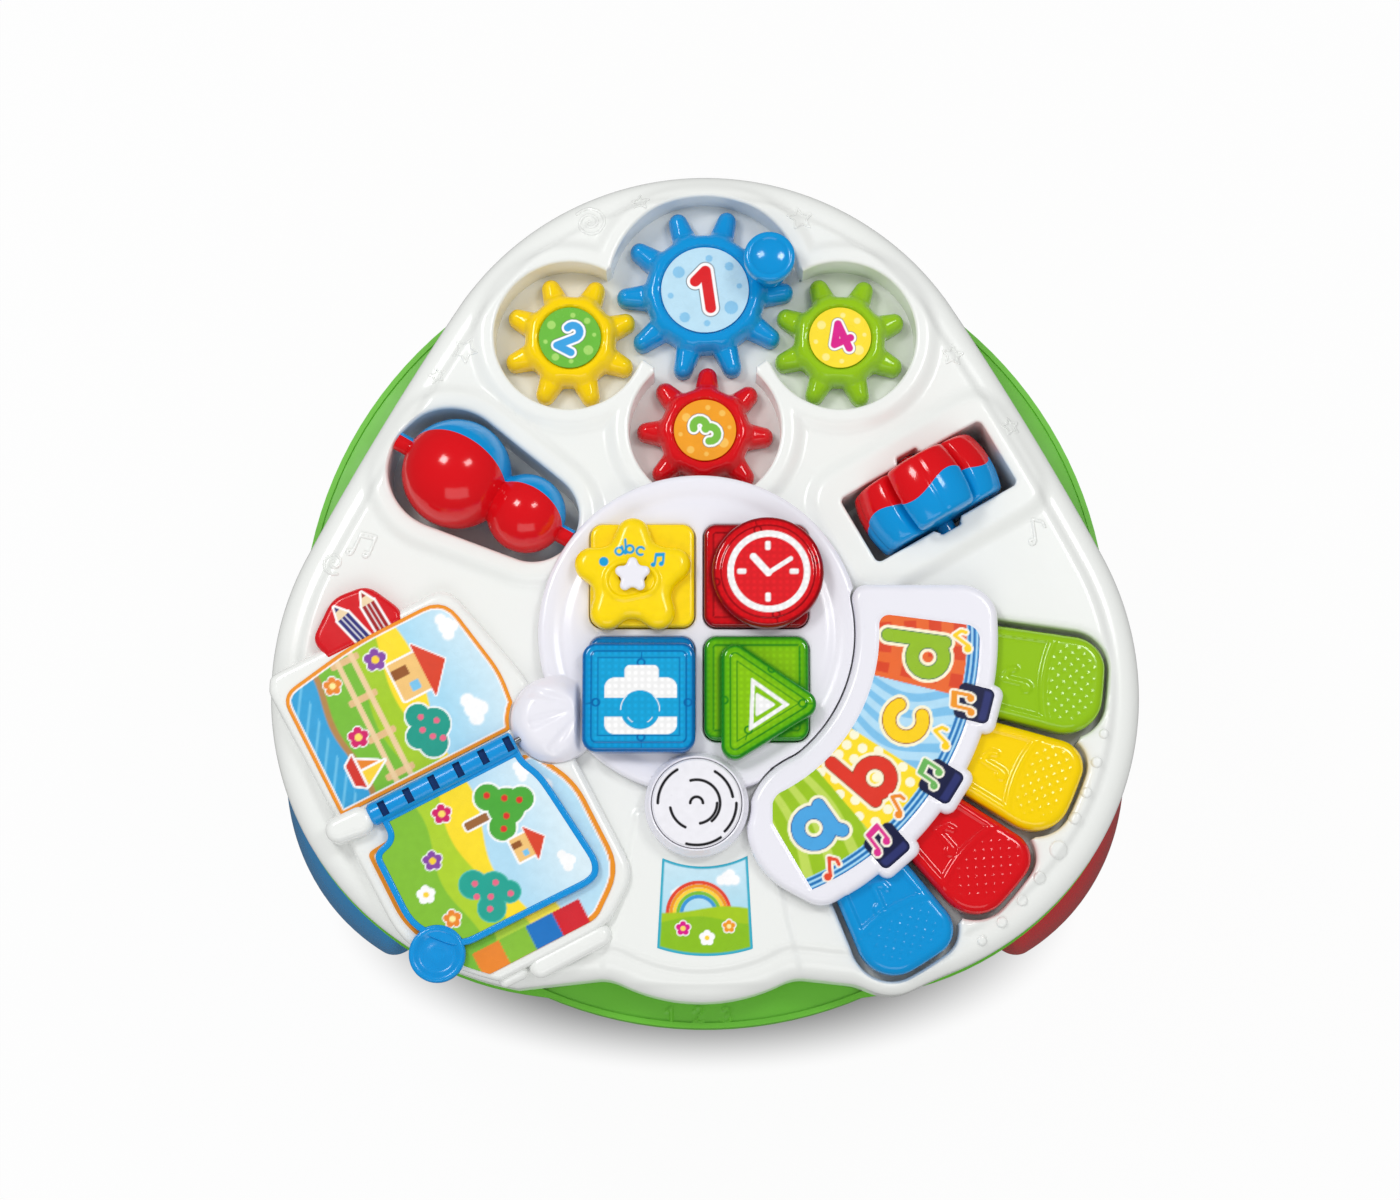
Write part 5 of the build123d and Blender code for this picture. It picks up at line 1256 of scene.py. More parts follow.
# %% See-through buttons
def lens_tint(name, x, y, z, outline):
    """Colours laid by the distance inside the outline: painted shade at the edge and in thin rings, painted
    light over the middle; on the cap also pin marks in painted shade and white print.
    """
    cap, _, body, deep, painted_light_top = LENS[name]
    d = outline(x, y)
    tint = plain(x, body)
    # Painted light over the middle, painted shade in a band along the edge and a thin ring 4.4 mm inside it.
    tint = lay(tint, painted_light_top, d - 5.0, 5.0)
    tint = lay(tint, deep, 1.1 - np.abs(d - 0.6), 0.8)
    tint = lay(tint, deep, 0.35 - np.abs(d - 4.4), 0.5)
    if outline is cap:
        # Painted shade: a thin ring 7.6 mm inside the cap's edge, and the pin marks with their short
        # strokes.
        tint = lay(tint, deep, 0.25 - np.abs(d - 7.6), 0.5)
        for mark in MARKS[name]:
            tint = lay(tint, deep, ring(x, y, mark, 1.7, 0.9), 0.5)
            away = np.array(mark) - np.array(CAPS[name])
            away = away / np.linalg.norm(away) * 3.2
            tint = lay(tint, deep, stroke(x, y, [mark + away * 0.6, mark + away * 1.5], 0.5), 0.4)
        tint = lay(tint, "FFFFFF", np.where(z > 350, FIGURES[name](x, y), -1.0))
    else:
        # Painted shade on the base's top round the foot of the cap.
        tint = lay(tint, deep, np.where(z > 340, cap(x, y) + 1.2, -1.0), 1.6)
    return tint


for name, (cap, slot, *_) in LENS.items():
    def top(x, y):
        return LENS_TOP - 0.5 * ease(4.4 - cap(x, y), -0.6, 0.6)

    base = button_base(name)
    raised = domed(cap, top, (2.4, 2.6), 0.45, square(CAPS[name], 31), 344.0)
    tints = [lens_tint(name, *base[0].T, base_outline(name)), lens_tint(name, *raised[0].T, cap)]
    points, faces = joined(base, raised)
    piece("button_" + name + "_lens", points, faces, CLEAR, name + "_button", "button_" + name, slot,
          np.concatenate(tints))

# %% [markdown]
# The star button is solid yellow and carries a small dish with a white star that slides in a slot.
# The dish is part of the cap's height, and the slot is sunk where the switch runs and tinted darker as
# painted shade.

# %% Star button and its switch
def star_top(x, y):
    """Star face with a soft raised rim round the dish of the sliding switch."""
    rim = capsule(x, y, (CAPS["star"][0] - 4.0, 11.6), (CAPS["star"][0] + 5.0, 11.6), 9.6, 7.6)
    return STAR_TOP + 1.1 * ease(rim, -1.6, 0.6) - 1.3 * ease(rim, 1.0, 2.6)


SWITCH = (CAPS["star"][0], 13.9)
raised = domed(star_cap, star_top, (5.5, 5.0), 0.42, square(CAPS["star"], 31), 344.0)
points, faces = joined(button_base("star"), raised)
x, y, z = points.T
tint = plain(x, "FFDC00")
pit = stroke(x, y, [(SWITCH[0] - 3.5, 13.9), (SWITCH[0] + 3.5, 13.9)], 6.4)
# Painted shade in the slot where the switch runs.
tint = lay(tint, "C98A00", np.where(z > 350, pit, -1), 0.6)
points[:, 2] -= np.where(z > 349, 3.0 * ease(pit, -0.1, 0.6), 0)
SIGNS = (("a", (-41.3, 25.9), 5.6, 18), ("b", (-36.2, 26.9), 5.6, 4), ("c", (-31.0, 26.0), 5.6, -14),
         ("notes", (-22.4, 21.6), 7.4, -4))
printed = [glyph(x, y, sign, place, size, 1.25, degrees) for sign, place, size, degrees in SIGNS]
for inside in printed + [circle(x, y, (-48.7, 20.8), 2.3)]:
    tint = lay(tint, "14A0DC", np.where(z > 350, inside, -1))
piece("star_button", points, faces, tinted("ABS_yellow_printed", 0.2), "star_button", "button_star",
      "yellow", tint)

switch_points = domed(lambda x, y: star(x, y, SWITCH, 8.6, 4.7, 2.4, 1.4), 356.2, (1.6, 1.6), 0.4,
                      (SWITCH[0] - 10, 3, SWITCH[0] + 10, 24), 353.8)
stem = revolved([(2.4, 346.2), (2.4, 353.9)], SWITCH, 24)
piece("mode_star", *joined(switch_points, stem), ABS["cool"], "mode_switch", "mode_slider", "module_white")


# %% [markdown]
# ## Letter panel
# A soft-edged plate follows the keys and carries one large sticker: four cloth-like patches with
# the letters d, c, b and a, a striped band along the outer edge and three dark keys with notes.
# The letters are read from outside, so each is turned towards the fan's middle.

# %% Sticker outline
BUMPS = (-14.7, -32.0, -49.0)


def note_keys(x, y):
    """The three dark keys of the sticker, each 17 mm wide, that stand on the panel's bumps."""
    return np.max([rounded_box(x, y, on_circle(COVER, 136.6, angle), (17.0, 17.0), 3.0, angle)
                   for angle in BUMPS], 0)


def sticker_inside(x, y):
    """A slice of the same ring as the panel's, joined with the three dark keys."""
    r = polar(x, y, COVER)[0]
    start = (-4.0 - (x - 92.0) * 0.13 - y) / 1.01
    end = np.minimum(x - 32.4, ((x - 32.6) * 31.0 + (y + 104.6) * 18.2) / 35.95)
    body = np.minimum(rounded_meet(start, 135.2 - r, 6.0), rounded_meet(start, r - 87.0, 6.0))
    body = np.minimum(body, rounded_meet(end, r - 87.0, 4.0))
    return np.maximum(body, note_keys(x, y))


print("dark keys of the sticker:", len(BUMPS))

# %% [markdown]
# The panel's face has a shallow bed for the sticker, so that the sticker's edge lies flush.

# %% Letter panel
def panel_top(x, y):
    """Flat top with a bed 0.6 mm deep for the sticker."""
    return PANEL_TOP - 0.6 * ease(sticker_inside(x, y), -1.2, -0.4)


panel = domed(panel_inside, panel_top, (4.0, 4.4), 0.9, (15, -148, 165, 16), 335.0)
piece("letter_plate", *panel, ABS["cool"], node="letter_panel", slot="module_white")

# %% [markdown]
# The sticker's patches are painted in the order of the real print: ground, patches, band, dark keys,
# letters, notes. Patches meet where the direction from the cover's middle passes a limit.

# %% Sticker
points, faces = plate(sticker_inside, 342.55, 0.55, (28, -142, 146, 2), quarter(0.1, rows=1), 342.3, False)
x, y = points[:, 0], points[:, 1]
r, turn = polar(x, y, COVER)
arc_length = np.radians(turn) * 110.0
wave = 2.2 * np.sin((r - 85.0) / 11.0)
squares = np.minimum(np.sin(arc_length / 1.9), np.sin((r - 87.0) / 1.9)) * 2
tint = plain(x, "EF6A2B")
tint = lay(tint, "E0451F", squares, 0.5)
tint = lay(tint, "7FC4EE", (-14.0 - turn) * 1.9)
cloth = np.sin((arc_length + wave * 2.4) / 1.35 + 0.6) * 1.4
tint = lay(tint, "B4E0F8", np.where(turn < -14.0, cloth, -1), 0.6)
tint = lay(tint, "FFE11E", (-32.6 - turn) * 1.9)
for row in range(7):
    for column in range(5):
        spot = on_circle(COVER, 89.5 + 7.0 * row, -33.8 - 3.9 * column - 1.95 * (row % 2))
        tint = lay(tint, "FFFBD8", np.where((turn < -32.6) & (turn > -49.8), circle(x, y, spot, 2.3), -1))
tint = lay(tint, "9CC819", (-49.8 - turn) * 1.9)
tint = lay(tint, "C4DE5A", np.where(turn < -49.8, np.sin((arc_length - wave) / 1.7) * 1.7 - 0.5, -1), 0.6)
band = np.minimum(r - 129.3, 0.7 * (r - 100))
tint = lay(tint, "5FB4E6", band)
tint = lay(tint, "1E6FB8", np.minimum(band, 0.55 - np.abs((r - 129.3) % 2.4 - 1.2)), 0.3)
tint = lay(tint, "BFE6FA", np.minimum(band, 0.3 - np.abs((r - 128.1) % 2.4 - 1.2)), 0.3)
tint = lay(tint, "141A44", note_keys(x, y) + 0.3)
tint = lay(tint, "2A3270", np.minimum(note_keys(x, y) - 1.2, r - 140.4), 0.8)
LETTERS = (("d", (107.4, -24.2), "96C11F", "3F6E52", 82.0), ("c", (96.5, -54.8), "FFD400", "9A4A20", 64.0),
           ("b", (81.4, -82.8), "E4331F", "9A4A20", 49.0), ("a", (52.0, -106.8), "4AA8E6", "2A5AA0", 35.0))
for sign, place, colour, line, degrees in LETTERS:
    letter = glyph(x, y, sign, place, 24.0, 6.0, degrees)
    tint = lay(lay(lay(tint, "FFF8D8", letter + 1.9), line, letter + 0.45), colour, letter)
NOTES = (("note", (124.6, -15.4), "FFD400", 60.0), ("notes", (124.2, -46.2), "F59A1C", 80.0),
         ("note", (114.2, -62.4), "FFD400", 50.0), ("notes", (108.0, -80.6), "6CB85A", 58.0),
         ("note", (92.6, -95.2), "F28C1E", 36.0), ("notes", (82.6, -112.4), "E02A90", 40.0),
         ("note", (60.6, -125.4), "EA4A28", 12.0))
for sign, place, colour, degrees in NOTES:
    note = glyph(x, y, sign, place, 11.5 if sign == "note" else 13.0, 1.8, degrees)
    tint = lay(lay(tint, "FFFBEA", note + 0.9), colour, note)
piece("letter_sticker", points, faces, STICKER, node="letter_panel", slot="print_white", tint=tint)


# %% [markdown]
# ## Piano keys
# Each key is a slice of a ring with plump edges. A panel 1.3 mm deep with a raised note is sunk
# into it, and its outer end is a pad of small pimples for the fingertip.

# %% Keys
def piano_key(index, colour):
    """Key with a sunk panel, a note 0.9 mm high and a pad of pimples 5.8 mm apart in each row."""
    middle = -6.2 - 17.5 * index

    def top(x, y):
        u, v = turned(x, y, FAN, middle)
        d = key_inside(x, y, index)
        hollow = 61.0 - np.hypot(u - 214.0 + 1.5 * index, v)
        field = rounded_box(u, v, (128.0, 0.0), (90.0, 44.0), 5.0) + 3.0
        panel = np.minimum(np.minimum(d - 5.2, -hollow - 1.6), field)
        note = glyph(v, -u, "note", (0.0, -140.0), 15.0, 3.2)
        pimples = np.cos(u * math.pi / 2.9) * np.cos(v * math.pi / 2.9)
        pimples = np.maximum(pimples - 0.62, 0) * 2.4 * ease(hollow, 1.0, 4.0) * ease(d, 4.0, 7.0)
        face = KEY_TOP - 1.3 * ease(panel, -0.9, 0.9) + 0.9 * ease(note, -0.4, 0.8)
        return face - 0.5 * ease(hollow, 0.5, 2.5) + 0.55 * pimples
    name = KEYS[index]
    points, faces = domed(lambda x, y: key_inside(x, y, index), top, (4.6, 5.6), 0.75,
                          (38, -205, 200, 20), 324.2)
    return piece("piano_key_" + name, points, faces, ABS[colour], name + "_key", "key_" + name, colour)


for index, colour in enumerate(("lime", "yellow", "red", "blue")):
    piano_key(index, colour)


# %% [markdown]
# ## Book
# The book lies turned by 27.5 degrees. Its base and two printed pages are fixed, and one leaf turns
# on a bar with six slots. The pictures are a meadow in one layout of our own: hills, a stream, a
# fence, a house, a sailboat, trees, flowers and clouds, all drawn from distances.

# %% Book outlines
def page(x, y):
    """The book's own axes: u across its bar, v along the pages."""
    return turned(x, y, BOOK, BOOK_TURN)


def outline_of(corners, radius):
    """A distance function for a polygon of the book with softened corners."""
    soft = soft_corners(corners, radius)

    def inside(x, y):
        return polygon(*page(x, y), soft)
    return inside


book_edge = outline_of([
    (-58, 84), (42, 84), (55, 30), (59, -12), (59, -82), (37, -98), (-38, -98), (-55, -55), (-56, -10)], 9.0)
upper_edge = outline_of([(-53, 7), (-53, 72), (-10, 79), (38, 79), (46, 34), (43, 7)], (2, 8, 14, 12, 8, 2))
lower_edge = outline_of([
    (-50, -15), (-50, -52), (-33, -93), (33, -93), (54, -77), (54, -30), (42, -7)], (3, 8, 4, 4, 12, 10, 4))
leaf_edge = outline_of([
    (-37, -3), (-37, -14), (-48, -17), (-48, -57), (-31, -76.5), (41.5, -77.5), (46.5, -70), (42.5, -30),
    (41, -19), (36.6, -10), (36.6, -3)], (1, 4, 5, 10, 8, 8, 6, 10, 6, 4, 1))


def clear_of_neighbours(x, y):
    """Pages stop 3.5 mm inside the deck's edge and 1 mm away from the cover's lobes."""
    cover = np.maximum(circle(x, y, COVER, 78.0), circle(x, y, SCALLOP, 21.0))
    return np.minimum(deck_inside(x, y) - 3.5, -cover - 1.0)


def tab_inside(x, y):
    """Round tab at the leaf's corner."""
    return circle(*page(x, y), (-42.0, -73.5), 13.5)


def print_inside(x, y):
    """Window of the leaf that shows its two printed sheets."""
    v = page(x, y)[1]
    return np.minimum(np.minimum(leaf_edge(x, y) - 3.2, -6.8 - v), -tab_inside(x, y) - 0.4)


print("book turned by", BOOK_TURN, "degrees")

# %% [markdown]
# The base is one plump white plate. Two short bars at its front edge and one at the leaf's hinge are
# hulls of two circles again, given on the book's own axes.

# %% Base and bars
BOOK_BOX = (-222, -205, -30, 30)


def base_inside(x, y):
    """The book's outline, cut where the cover and the deck's edge come near."""
    return np.minimum(book_edge(x, y), clear_of_neighbours(x, y) + 2.2)


piece("book_base_white", *domed(base_inside, 338.6, (3.4, 4.2), 1.3, BOOK_BOX, 329.2), ABS["white"],
      node="book_base", slot="deck_white")
# Each bar: its two ends, the radius at each and its top.
BARS = (((-1, -100.5), (31, -100.5), 5.6, 5.4, 337.0), ((-19, -98.5), (-11, -98.6), 3.4, 3.6, 335.0),
        ((-46.5, 0), (-57, 1), 7.0, 6.4, 347.0))
bars = []
for first, last, wide, narrow, top in BARS:
    a, b = (lying(*end, 0.0, (*BOOK, 0.0), BOOK_TURN)[:2] for end in (first, last))
    box = (min(a[0], b[0]) - 9, min(a[1], b[1]) - 9, max(a[0], b[0]) + 9, max(a[1], b[1]) + 9)
    bars.append(domed(lambda x, y: capsule(x, y, a, b, wide, narrow), top, (4.4, 4.4), 0.7, box, 330.0))
piece("page_bars", *joined(*bars), ABS["white"], slot="deck_white")

# %% [markdown]
# The pictures are our own and use a few plain things again and again, so each thing is one function:
# bushes and trees of discs, flowers of five petals, clouds, hills below wavy lines, a house, a boat.

# %% Things that grow in the pictures
def blob(tint, x, y, colour, spots, edge=None, margin=0.8):
    """Union of discs, with an outline in a second colour when one is given."""
    far = np.max([circle(x, y, (a, b), r) for a, b, r in spots], 0)
    if edge:
        tint = lay(tint, edge, far + margin)
    return lay(tint, colour, far)


def flower(tint, x, y, centre, size, petal, heart):
    """Five round petals with a white outline, and a heart."""
    spots = [(*on_circle(centre, size * 0.62, turn), size * 0.42) for turn in 18 + 72 * np.arange(5)]
    tint = blob(tint, x, y, petal, spots, "FFFFFF", 0.5)
    return lay(tint, heart, circle(x, y, centre, size * 0.36))


def cloud(tint, x, y, centre, size):
    """Four white discs with a pale outline."""
    parts = ((0, 0, 0.5), (0.5, -0.12, 0.36), (-0.5, -0.15, 0.34), (0.15, 0.3, 0.36))
    spots = [(centre[0] + size * a, centre[1] + size * b, size * r) for a, b, r in parts]
    return blob(tint, x, y, "FFFFFF", spots, "D8EFFA", 0.7)


def dots(tint, x, y, colour, radius, places):
    """Berries or apples: equal discs at a list of places."""
    for place in places:
        tint = lay(tint, colour, circle(x, y, place, radius))
    return tint


def hills(tint, x, y, levels):
    """Each level is a colour that fills the ground below a wavy line."""
    for colour, height, swell, length, phase in levels:
        tint = lay(tint, colour, height + swell * np.sin(x / length + phase) - y, 0.8)
    return tint


print("drawn from discs and waves: bushes, trees, flowers, clouds, berries, hills")

# %% [markdown]
# House and boat are polygons in a unit of their own, laid on a white outline like a cut-out.

# %% House and boat
def house(tint, x, y, centre, size):
    """Wall, roof, door and window on a white outline."""
    u, v = (x - centre[0]) / size, (y - centre[1]) / size
    wall = rounded_box(u, v, (0, 0), (1.3, 1.0), 0.05) * size
    roof = polygon(u, v, [(-0.9, 0.5), (0.0, 1.25), (0.9, 0.5)]) * size
    tint = lay(tint, "FFFFFF", np.maximum(wall, roof) + 1.0)
    tint = lay(tint, "F7C87A", wall)
    tint = lay(tint, "E0452A", roof + 0.4)
    tint = lay(tint, "9A5A2A", rounded_box(u, v, (-0.25, -0.22), (0.34, 0.56), 0.04) * size)
    return lay(tint, "7CC8F0", rounded_box(u, v, (0.33, 0.05), (0.32, 0.32), 0.04) * size)


def boat(tint, x, y, centre, size):
    """Hull and two sails on a white outline."""
    u, v = (x - centre[0]) / size, (y - centre[1]) / size
    hull = polygon(u, v, [(-0.9, 0.0), (0.9, 0.0), (0.55, -0.5), (-0.55, -0.5)]) * size
    sail = polygon(u, v, [(0.06, 0.12), (0.06, 1.4), (0.85, 0.12)]) * size
    jib = polygon(u, v, [(-0.06, 0.12), (-0.06, 1.1), (-0.62, 0.12)]) * size
    tint = lay(tint, "FFFFFF", np.max([hull, sail, jib], 0) + 1.0)
    tint = lay(tint, "D8352A", hull)
    tint = lay(tint, "FFD83A", sail)
    return lay(tint, "F08A2A", jib)


# %% [markdown]
# The upper page shows a meadow above a stream, with a fence, a house and a boat.

# %% Picture of the upper page
def upper_picture(x, y):
    """The picture's own axes lie across the book: a is to the right, b is up."""
    u, v = page(x, y)
    a, b = 79.0 - v, u
    tint = plain(x, "A9DDF5")
    tint = lay(tint, "D6EEF9", (b - 28) * 0.2 + 0.3 * np.sin(a / 9), 6.0)
    tint = hills(tint, a, b, (
        ("FFE22A", 9, 3.5, 15, 0.4), ("A8D02A", -2, 3.0, 13, 2.2), ("7CC13A", -16, 2.6, 11, 0.8),
        ("B98A50", -34.5, 1.8, 9, 1.0), ("35A5DC", -37.5, 1.8, 9, 1.0)))
    tint = lay(tint, "6CC4EC", np.minimum(-42 - b, 0.35 - np.abs(np.sin(a / 3.1 + b / 2.0))), 0.4)
    for post in (6.0, 26.0, 46.0, 66.0):
        tint = lay(tint, "E8C08A", rounded_box(a, b, (post, -18.5), (3.4, 15.0), 1.0))
    for rail in (-14.5, -22.0):
        tint = lay(tint, "F2D2A2", rounded_box(a, b, (36.0, rail), (74.0, 2.6), 1.0))
    tint = blob(tint, a, b, "1FA08C", ((53, 6, 8), (61, 2, 7), (46, 1, 6), (55, -3, 6)), "FFFFFF")
    tint = dots(tint, a, b, "F06A8A", 1.5, ((52, 8), (58, 3), (47, 2), (61, 7), (53, 0)))
    tint = house(tint, a, b, (27.0, 6.0), 15.0)
    tint = boat(tint, a, b, (57.0, -36.0), 9.5)
    tint = cloud(tint, a, b, (13.0, 33.0), 8.0)
    tint = cloud(tint, a, b, (55.0, 27.0), 9.5)
    tint = flower(tint, a, b, (12.0, -5.0), 5.4, "8A4AA8", "FFD83A")
    tint = flower(tint, a, b, (42.0, -29.0), 5.0, "D81E6A", "FFE26A")
    return flower(tint, a, b, (14.0, -29.0), 4.4, "F08A2A", "FFF2A0")


def bordered(tint, d, colour, width):
    """A coloured border of a width with a thin white line inside it."""
    return lay(lay(tint, "FFFFFF", width + 0.7 - d), colour, width - d)


def upper_shape(x, y):
    """The upper page, cut where the cover and the deck's edge come near."""
    return np.minimum(upper_edge(x, y), clear_of_neighbours(x, y))


points, faces = plate(upper_shape, PAGE_TOP, 0.62, BOOK_BOX, quarter(0.2, rows=1), 338.4, closed=False)
x, y = points[:, 0], points[:, 1]
piece("upper_print", points, faces, STICKER, node="upper_page", slot="print_white",
      tint=bordered(upper_picture(x, y), upper_shape(x, y), "F2951E", 1.7))

# %% [markdown]
# The lower page is mostly hidden by the leaf. It shows its border and four coloured tabs in front.

# %% Picture of the lower page
def lower_picture(x, y):
    """Hills, a bush, a house, a cloud and two flowers; the axes are those of the leaf's picture."""
    u, v = page(x, y)
    a, b = -v, u
    tint = plain(x, "BFE6F8")
    tint = hills(tint, a, b, (
        ("FFE84A", 18, 3, 14, 1.2), ("B4D840", 2, 3, 12, 0.2), ("7CC13A", -16, 3, 12, 2.0)))
    tint = blob(tint, a, b, "1FA08C", ((58, 10, 7), (66, 6, 6)), "FFFFFF")
    tint = house(tint, a, b, (30.0, 8.0), 11.0)
    tint = cloud(tint, a, b, (24.0, 38.0), 8.0)
    tint = flower(tint, a, b, (20.0, -20.0), 5.0, "D81E6A", "FFE26A")
    tint = flower(tint, a, b, (62.0, -24.0), 5.0, "8A4AA8", "FFD83A")
    tint = bordered(tint, lower_edge(x, y), "F2951E", 2.2)
    for middle, colour in ((-20.2, "F28A2E"), (-6.0, "8CC63A"), (8.2, "1E78C8"), (22.4, "DA2430")):
        tint = lay(tint, colour, rounded_box(u, v, (middle, -87.0), (14.3, 12.4), 0.3), 0.3)
    return tint


def lower_shape(x, y):
    """The lower page, cut where the cover and the deck's edge come near."""
    return np.minimum(lower_edge(x, y), clear_of_neighbours(x, y))


points, faces = plate(lower_shape, PAGE_TOP, 0.75, BOOK_BOX, quarter(0.2, rows=1), 338.4, closed=False)
piece("lower_print", points, faces, STICKER, node="lower_page", slot="print_white",
      tint=lower_picture(points[:, 0], points[:, 1]))


# %% [markdown]
# The leaf is a blue frame with a round dished tab, moulded in one with the bar that it turns on. The
# bar has six slots. They are pressed into its round section, and their insides are tinted dark as
# painted shade.

# %% Turning leaf
def hinge_bar():
    """Bar of 11.2 mm, with six slots that cut 3 mm into it from above and below."""
    slots = (np.arange(6) - 2.5) * 13.4
    edges = np.array([-2.1, -1.8, -1.7, 0, 1.7, 1.8, 2.1])
    along = np.unique(np.concatenate([np.linspace(-41, 36.6, 60)] + [slot + edges for slot in slots]))
    turn = np.linspace(0, 2 * math.pi, 97)[None]
    end = np.minimum(np.minimum(along + 41, 36.6 - along), 1.2)[:, None]
    radius = np.minimum(5.6, 4.4 + np.sqrt(np.maximum(1.44 - (1.2 - end) ** 2, 0))) * np.ones_like(turn)
    out, high = radius * np.cos(turn), radius * np.sin(turn)
    in_slot = (np.abs(along[:, None] - slots[None]).min(1) < 1.75)[:, None] & (np.abs(out) < 3.5)
    high = np.where(in_slot, np.sign(high) * np.minimum(np.abs(high), 2.4), high)
    length = np.broadcast_to(along[:, None], out.shape)
    points = lying(length, out, high, (*BOOK, 342.0), BOOK_TURN).reshape(-1, 3)
    number = np.arange(len(points)).reshape(out.shape)
    return points, [sheet(number), number[:1, :-1], number[-1:, :-1][:, ::-1]], in_slot.ravel()


def frame_shape(x, y):
    """The leaf without the window of its prints."""
    return np.minimum(leaf_edge(x, y), -print_inside(x, y))


def tab_top(x, y):
    """Dish 1.9 mm deep with a floor that rises 0.5 mm to its middle."""
    d = tab_inside(x, y)
    return 344.3 - 1.9 * ease(d, 1.4, 5.5) + 0.5 * ease(d, 6.5, 10.5)


leaf_frame = plate(lambda x, y: frame_shape(x, y) - 0.75, LEAF_TOP, 0.8, BOOK_BOX, quarter(0.75, 0.9), 340.3)
tab = domed(tab_inside, tab_top, (1.6, 1.8), 0.8, (-165, -185, -110, -130), 340.0)
bar_points, bar_faces, dark = hinge_bar()
points, faces = joined(leaf_frame, tab, (bar_points, bar_faces))
tint = plain(points[:, 0], "0A94DE")
# Painted shade inside the six slots of the bar.
tint[-len(dark):][dark] = linear("0C3C78")
piece("turning_leaf", points, faces, tinted("ABS_leaf", 0.2), "page_leaf", "book_leaf", "blue", tint)

# %% [markdown]
# The leaf carries a print on each side, so one plate takes the leaf's picture above and the lower
# page's picture below.


# %% Prints of the leaf
def leaf_picture(x, y):
    """Top side: hills, a bush with berries, an apple tree, a house, clouds and flowers."""
    u, v = page(x, y)
    a, b = -v, u
    tint = plain(x, "B5E0F6")
    tint = lay(tint, "DDF1FA", (b - 24) * 0.2 + 0.4 * np.sin(a / 8), 6.0)
    tint = hills(tint, a, b, (
        ("FFE22A", 4, 4, 12, 0.6), ("B2D62E", -8, 3.6, 12, 2.4), ("86C436", -22, 3, 10, 0.2)))
    bush = ((58, -4, 7.5), (66, -9, 6.5), (52, -12, 6.5), (63, 2, 5.0))
    tint = blob(tint, a, b, "23A896", bush, "4CC0B0", 0.6)
    tint = dots(tint, a, b, "F06A8A", 1.5, ((56, -2), (61, -7), (66, -10), (52, -11), (64, 2), (58, -13)))
    trunk = rounded_box(a, b, (26.0, 5.0), (4.0, 16.0), 1.0)
    tint = lay(tint, "FFFFFF", trunk + 0.9)
    tint = lay(tint, "A0683A", trunk)
    crown = ((26, 19, 9), (18, 13, 6.5), (34, 13, 6.5), (26, 27, 6))
    tint = blob(tint, a, b, "4FAE3C", crown, "FFFFFF", 0.9)
    tint = dots(tint, a, b, "E2342A", 1.6, ((22, 20), (30, 17), (26, 26), (17, 13), (35, 13)))
    tint = house(tint, a, b, (47.0, 17.0), 9.0)
    tint = cloud(tint, a, b, (14.0, 33.0), 6.0)
    tint = cloud(tint, a, b, (62.0, 33.0), 6.5)
    tint = flower(tint, a, b, (15.0, -10.0), 4.6, "D81E6A", "FFE26A")
    tint = flower(tint, a, b, (33.0, -24.0), 4.6, "8A4AA8", "FFD83A")
    tint = flower(tint, a, b, (62.0, -28.0), 4.2, "F08A2A", "FFF2A0")
    return flower(tint, a, b, (46.0, -34.0), 4.0, "FFFFFF", "FFD83A")


points, faces = plate(print_inside, 343.25, 0.6, BOOK_BOX, quarter(0.05, rows=1), 340.75)
x, y = points[:, 0], points[:, 1]
above = (points[:, 2] > 342.0)[:, None]
piece("leaf_pictures", points, faces, STICKER, "page_leaf", "leaf_prints", "print_white",
      np.where(above, leaf_picture(x, y), lower_picture(x, y)))

# %% [markdown]
# Behind the book a red tab stands out, with two crayons printed on it.

# %% Red tab with two crayons
red_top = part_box("red_tab")[1].z * 1000.0
tab_edge = outline_of([(-25, 78), (-28, 90), (-10, 104), (8, 102), (17, 84), (15, 78)], (1, 5, 6, 6, 5, 1))
points, faces = domed(tab_edge, red_top, (3.0, 3.4), 0.45, (-215, -30, -130, 30), 332.0)
u, v = page(points[:, 0], points[:, 1])
tint = plain(u, "DA1620")
for along, lean, colour in ((-8.0, 16.0, "33307C"), (4.5, 4.0, "A81E22")):
    p, q = turned(u, v, (along, 88.0), lean)
    crayon = np.minimum(3.3 - np.abs(p), np.minimum(q + 14, 5.0 - q))
    tip = polygon(p, q, [(-3.3, 4.8), (3.3, 4.8), (0.0, 11.5)])
    tint = lay(tint, "FFFFFF", np.maximum(crayon, tip) + 1.1)
    tint = lay(tint, "F2D9B0", tip + 0.1)
    tint = lay(tint, colour, np.maximum(crayon, np.minimum(tip, q - 9.0)))
    tint = lay(tint, "FFFFFF", np.minimum(0.25 - np.abs(np.abs(p) - 1.1), crayon), 0.4)
piece("crayon_tab", points, faces, tinted("ABS_red_printed", 0.22), node="red_tab", slot="red", tint=tint)


# %% [markdown]
# ## Front label, rim beads and reliefs
# The front label is a small picture of the same meadow with a rainbow. The beads and the line
# reliefs are part of the deck's mould: spirals, stars and notes that stand 1 mm proud.

# %% Front label
def label_inside(x, y):
    """Label between two arcs and two sides that lean a little inwards."""
    top = np.hypot(x + 1.2, y + 77.0) - 47.5
    bottom = 74.0 - np.hypot(x - 0.5, y + 93.0)
    side = (20.3 + (-(y + 119.0)) * 0.055) - np.abs(x)
    return np.minimum(np.minimum(top, bottom), side)


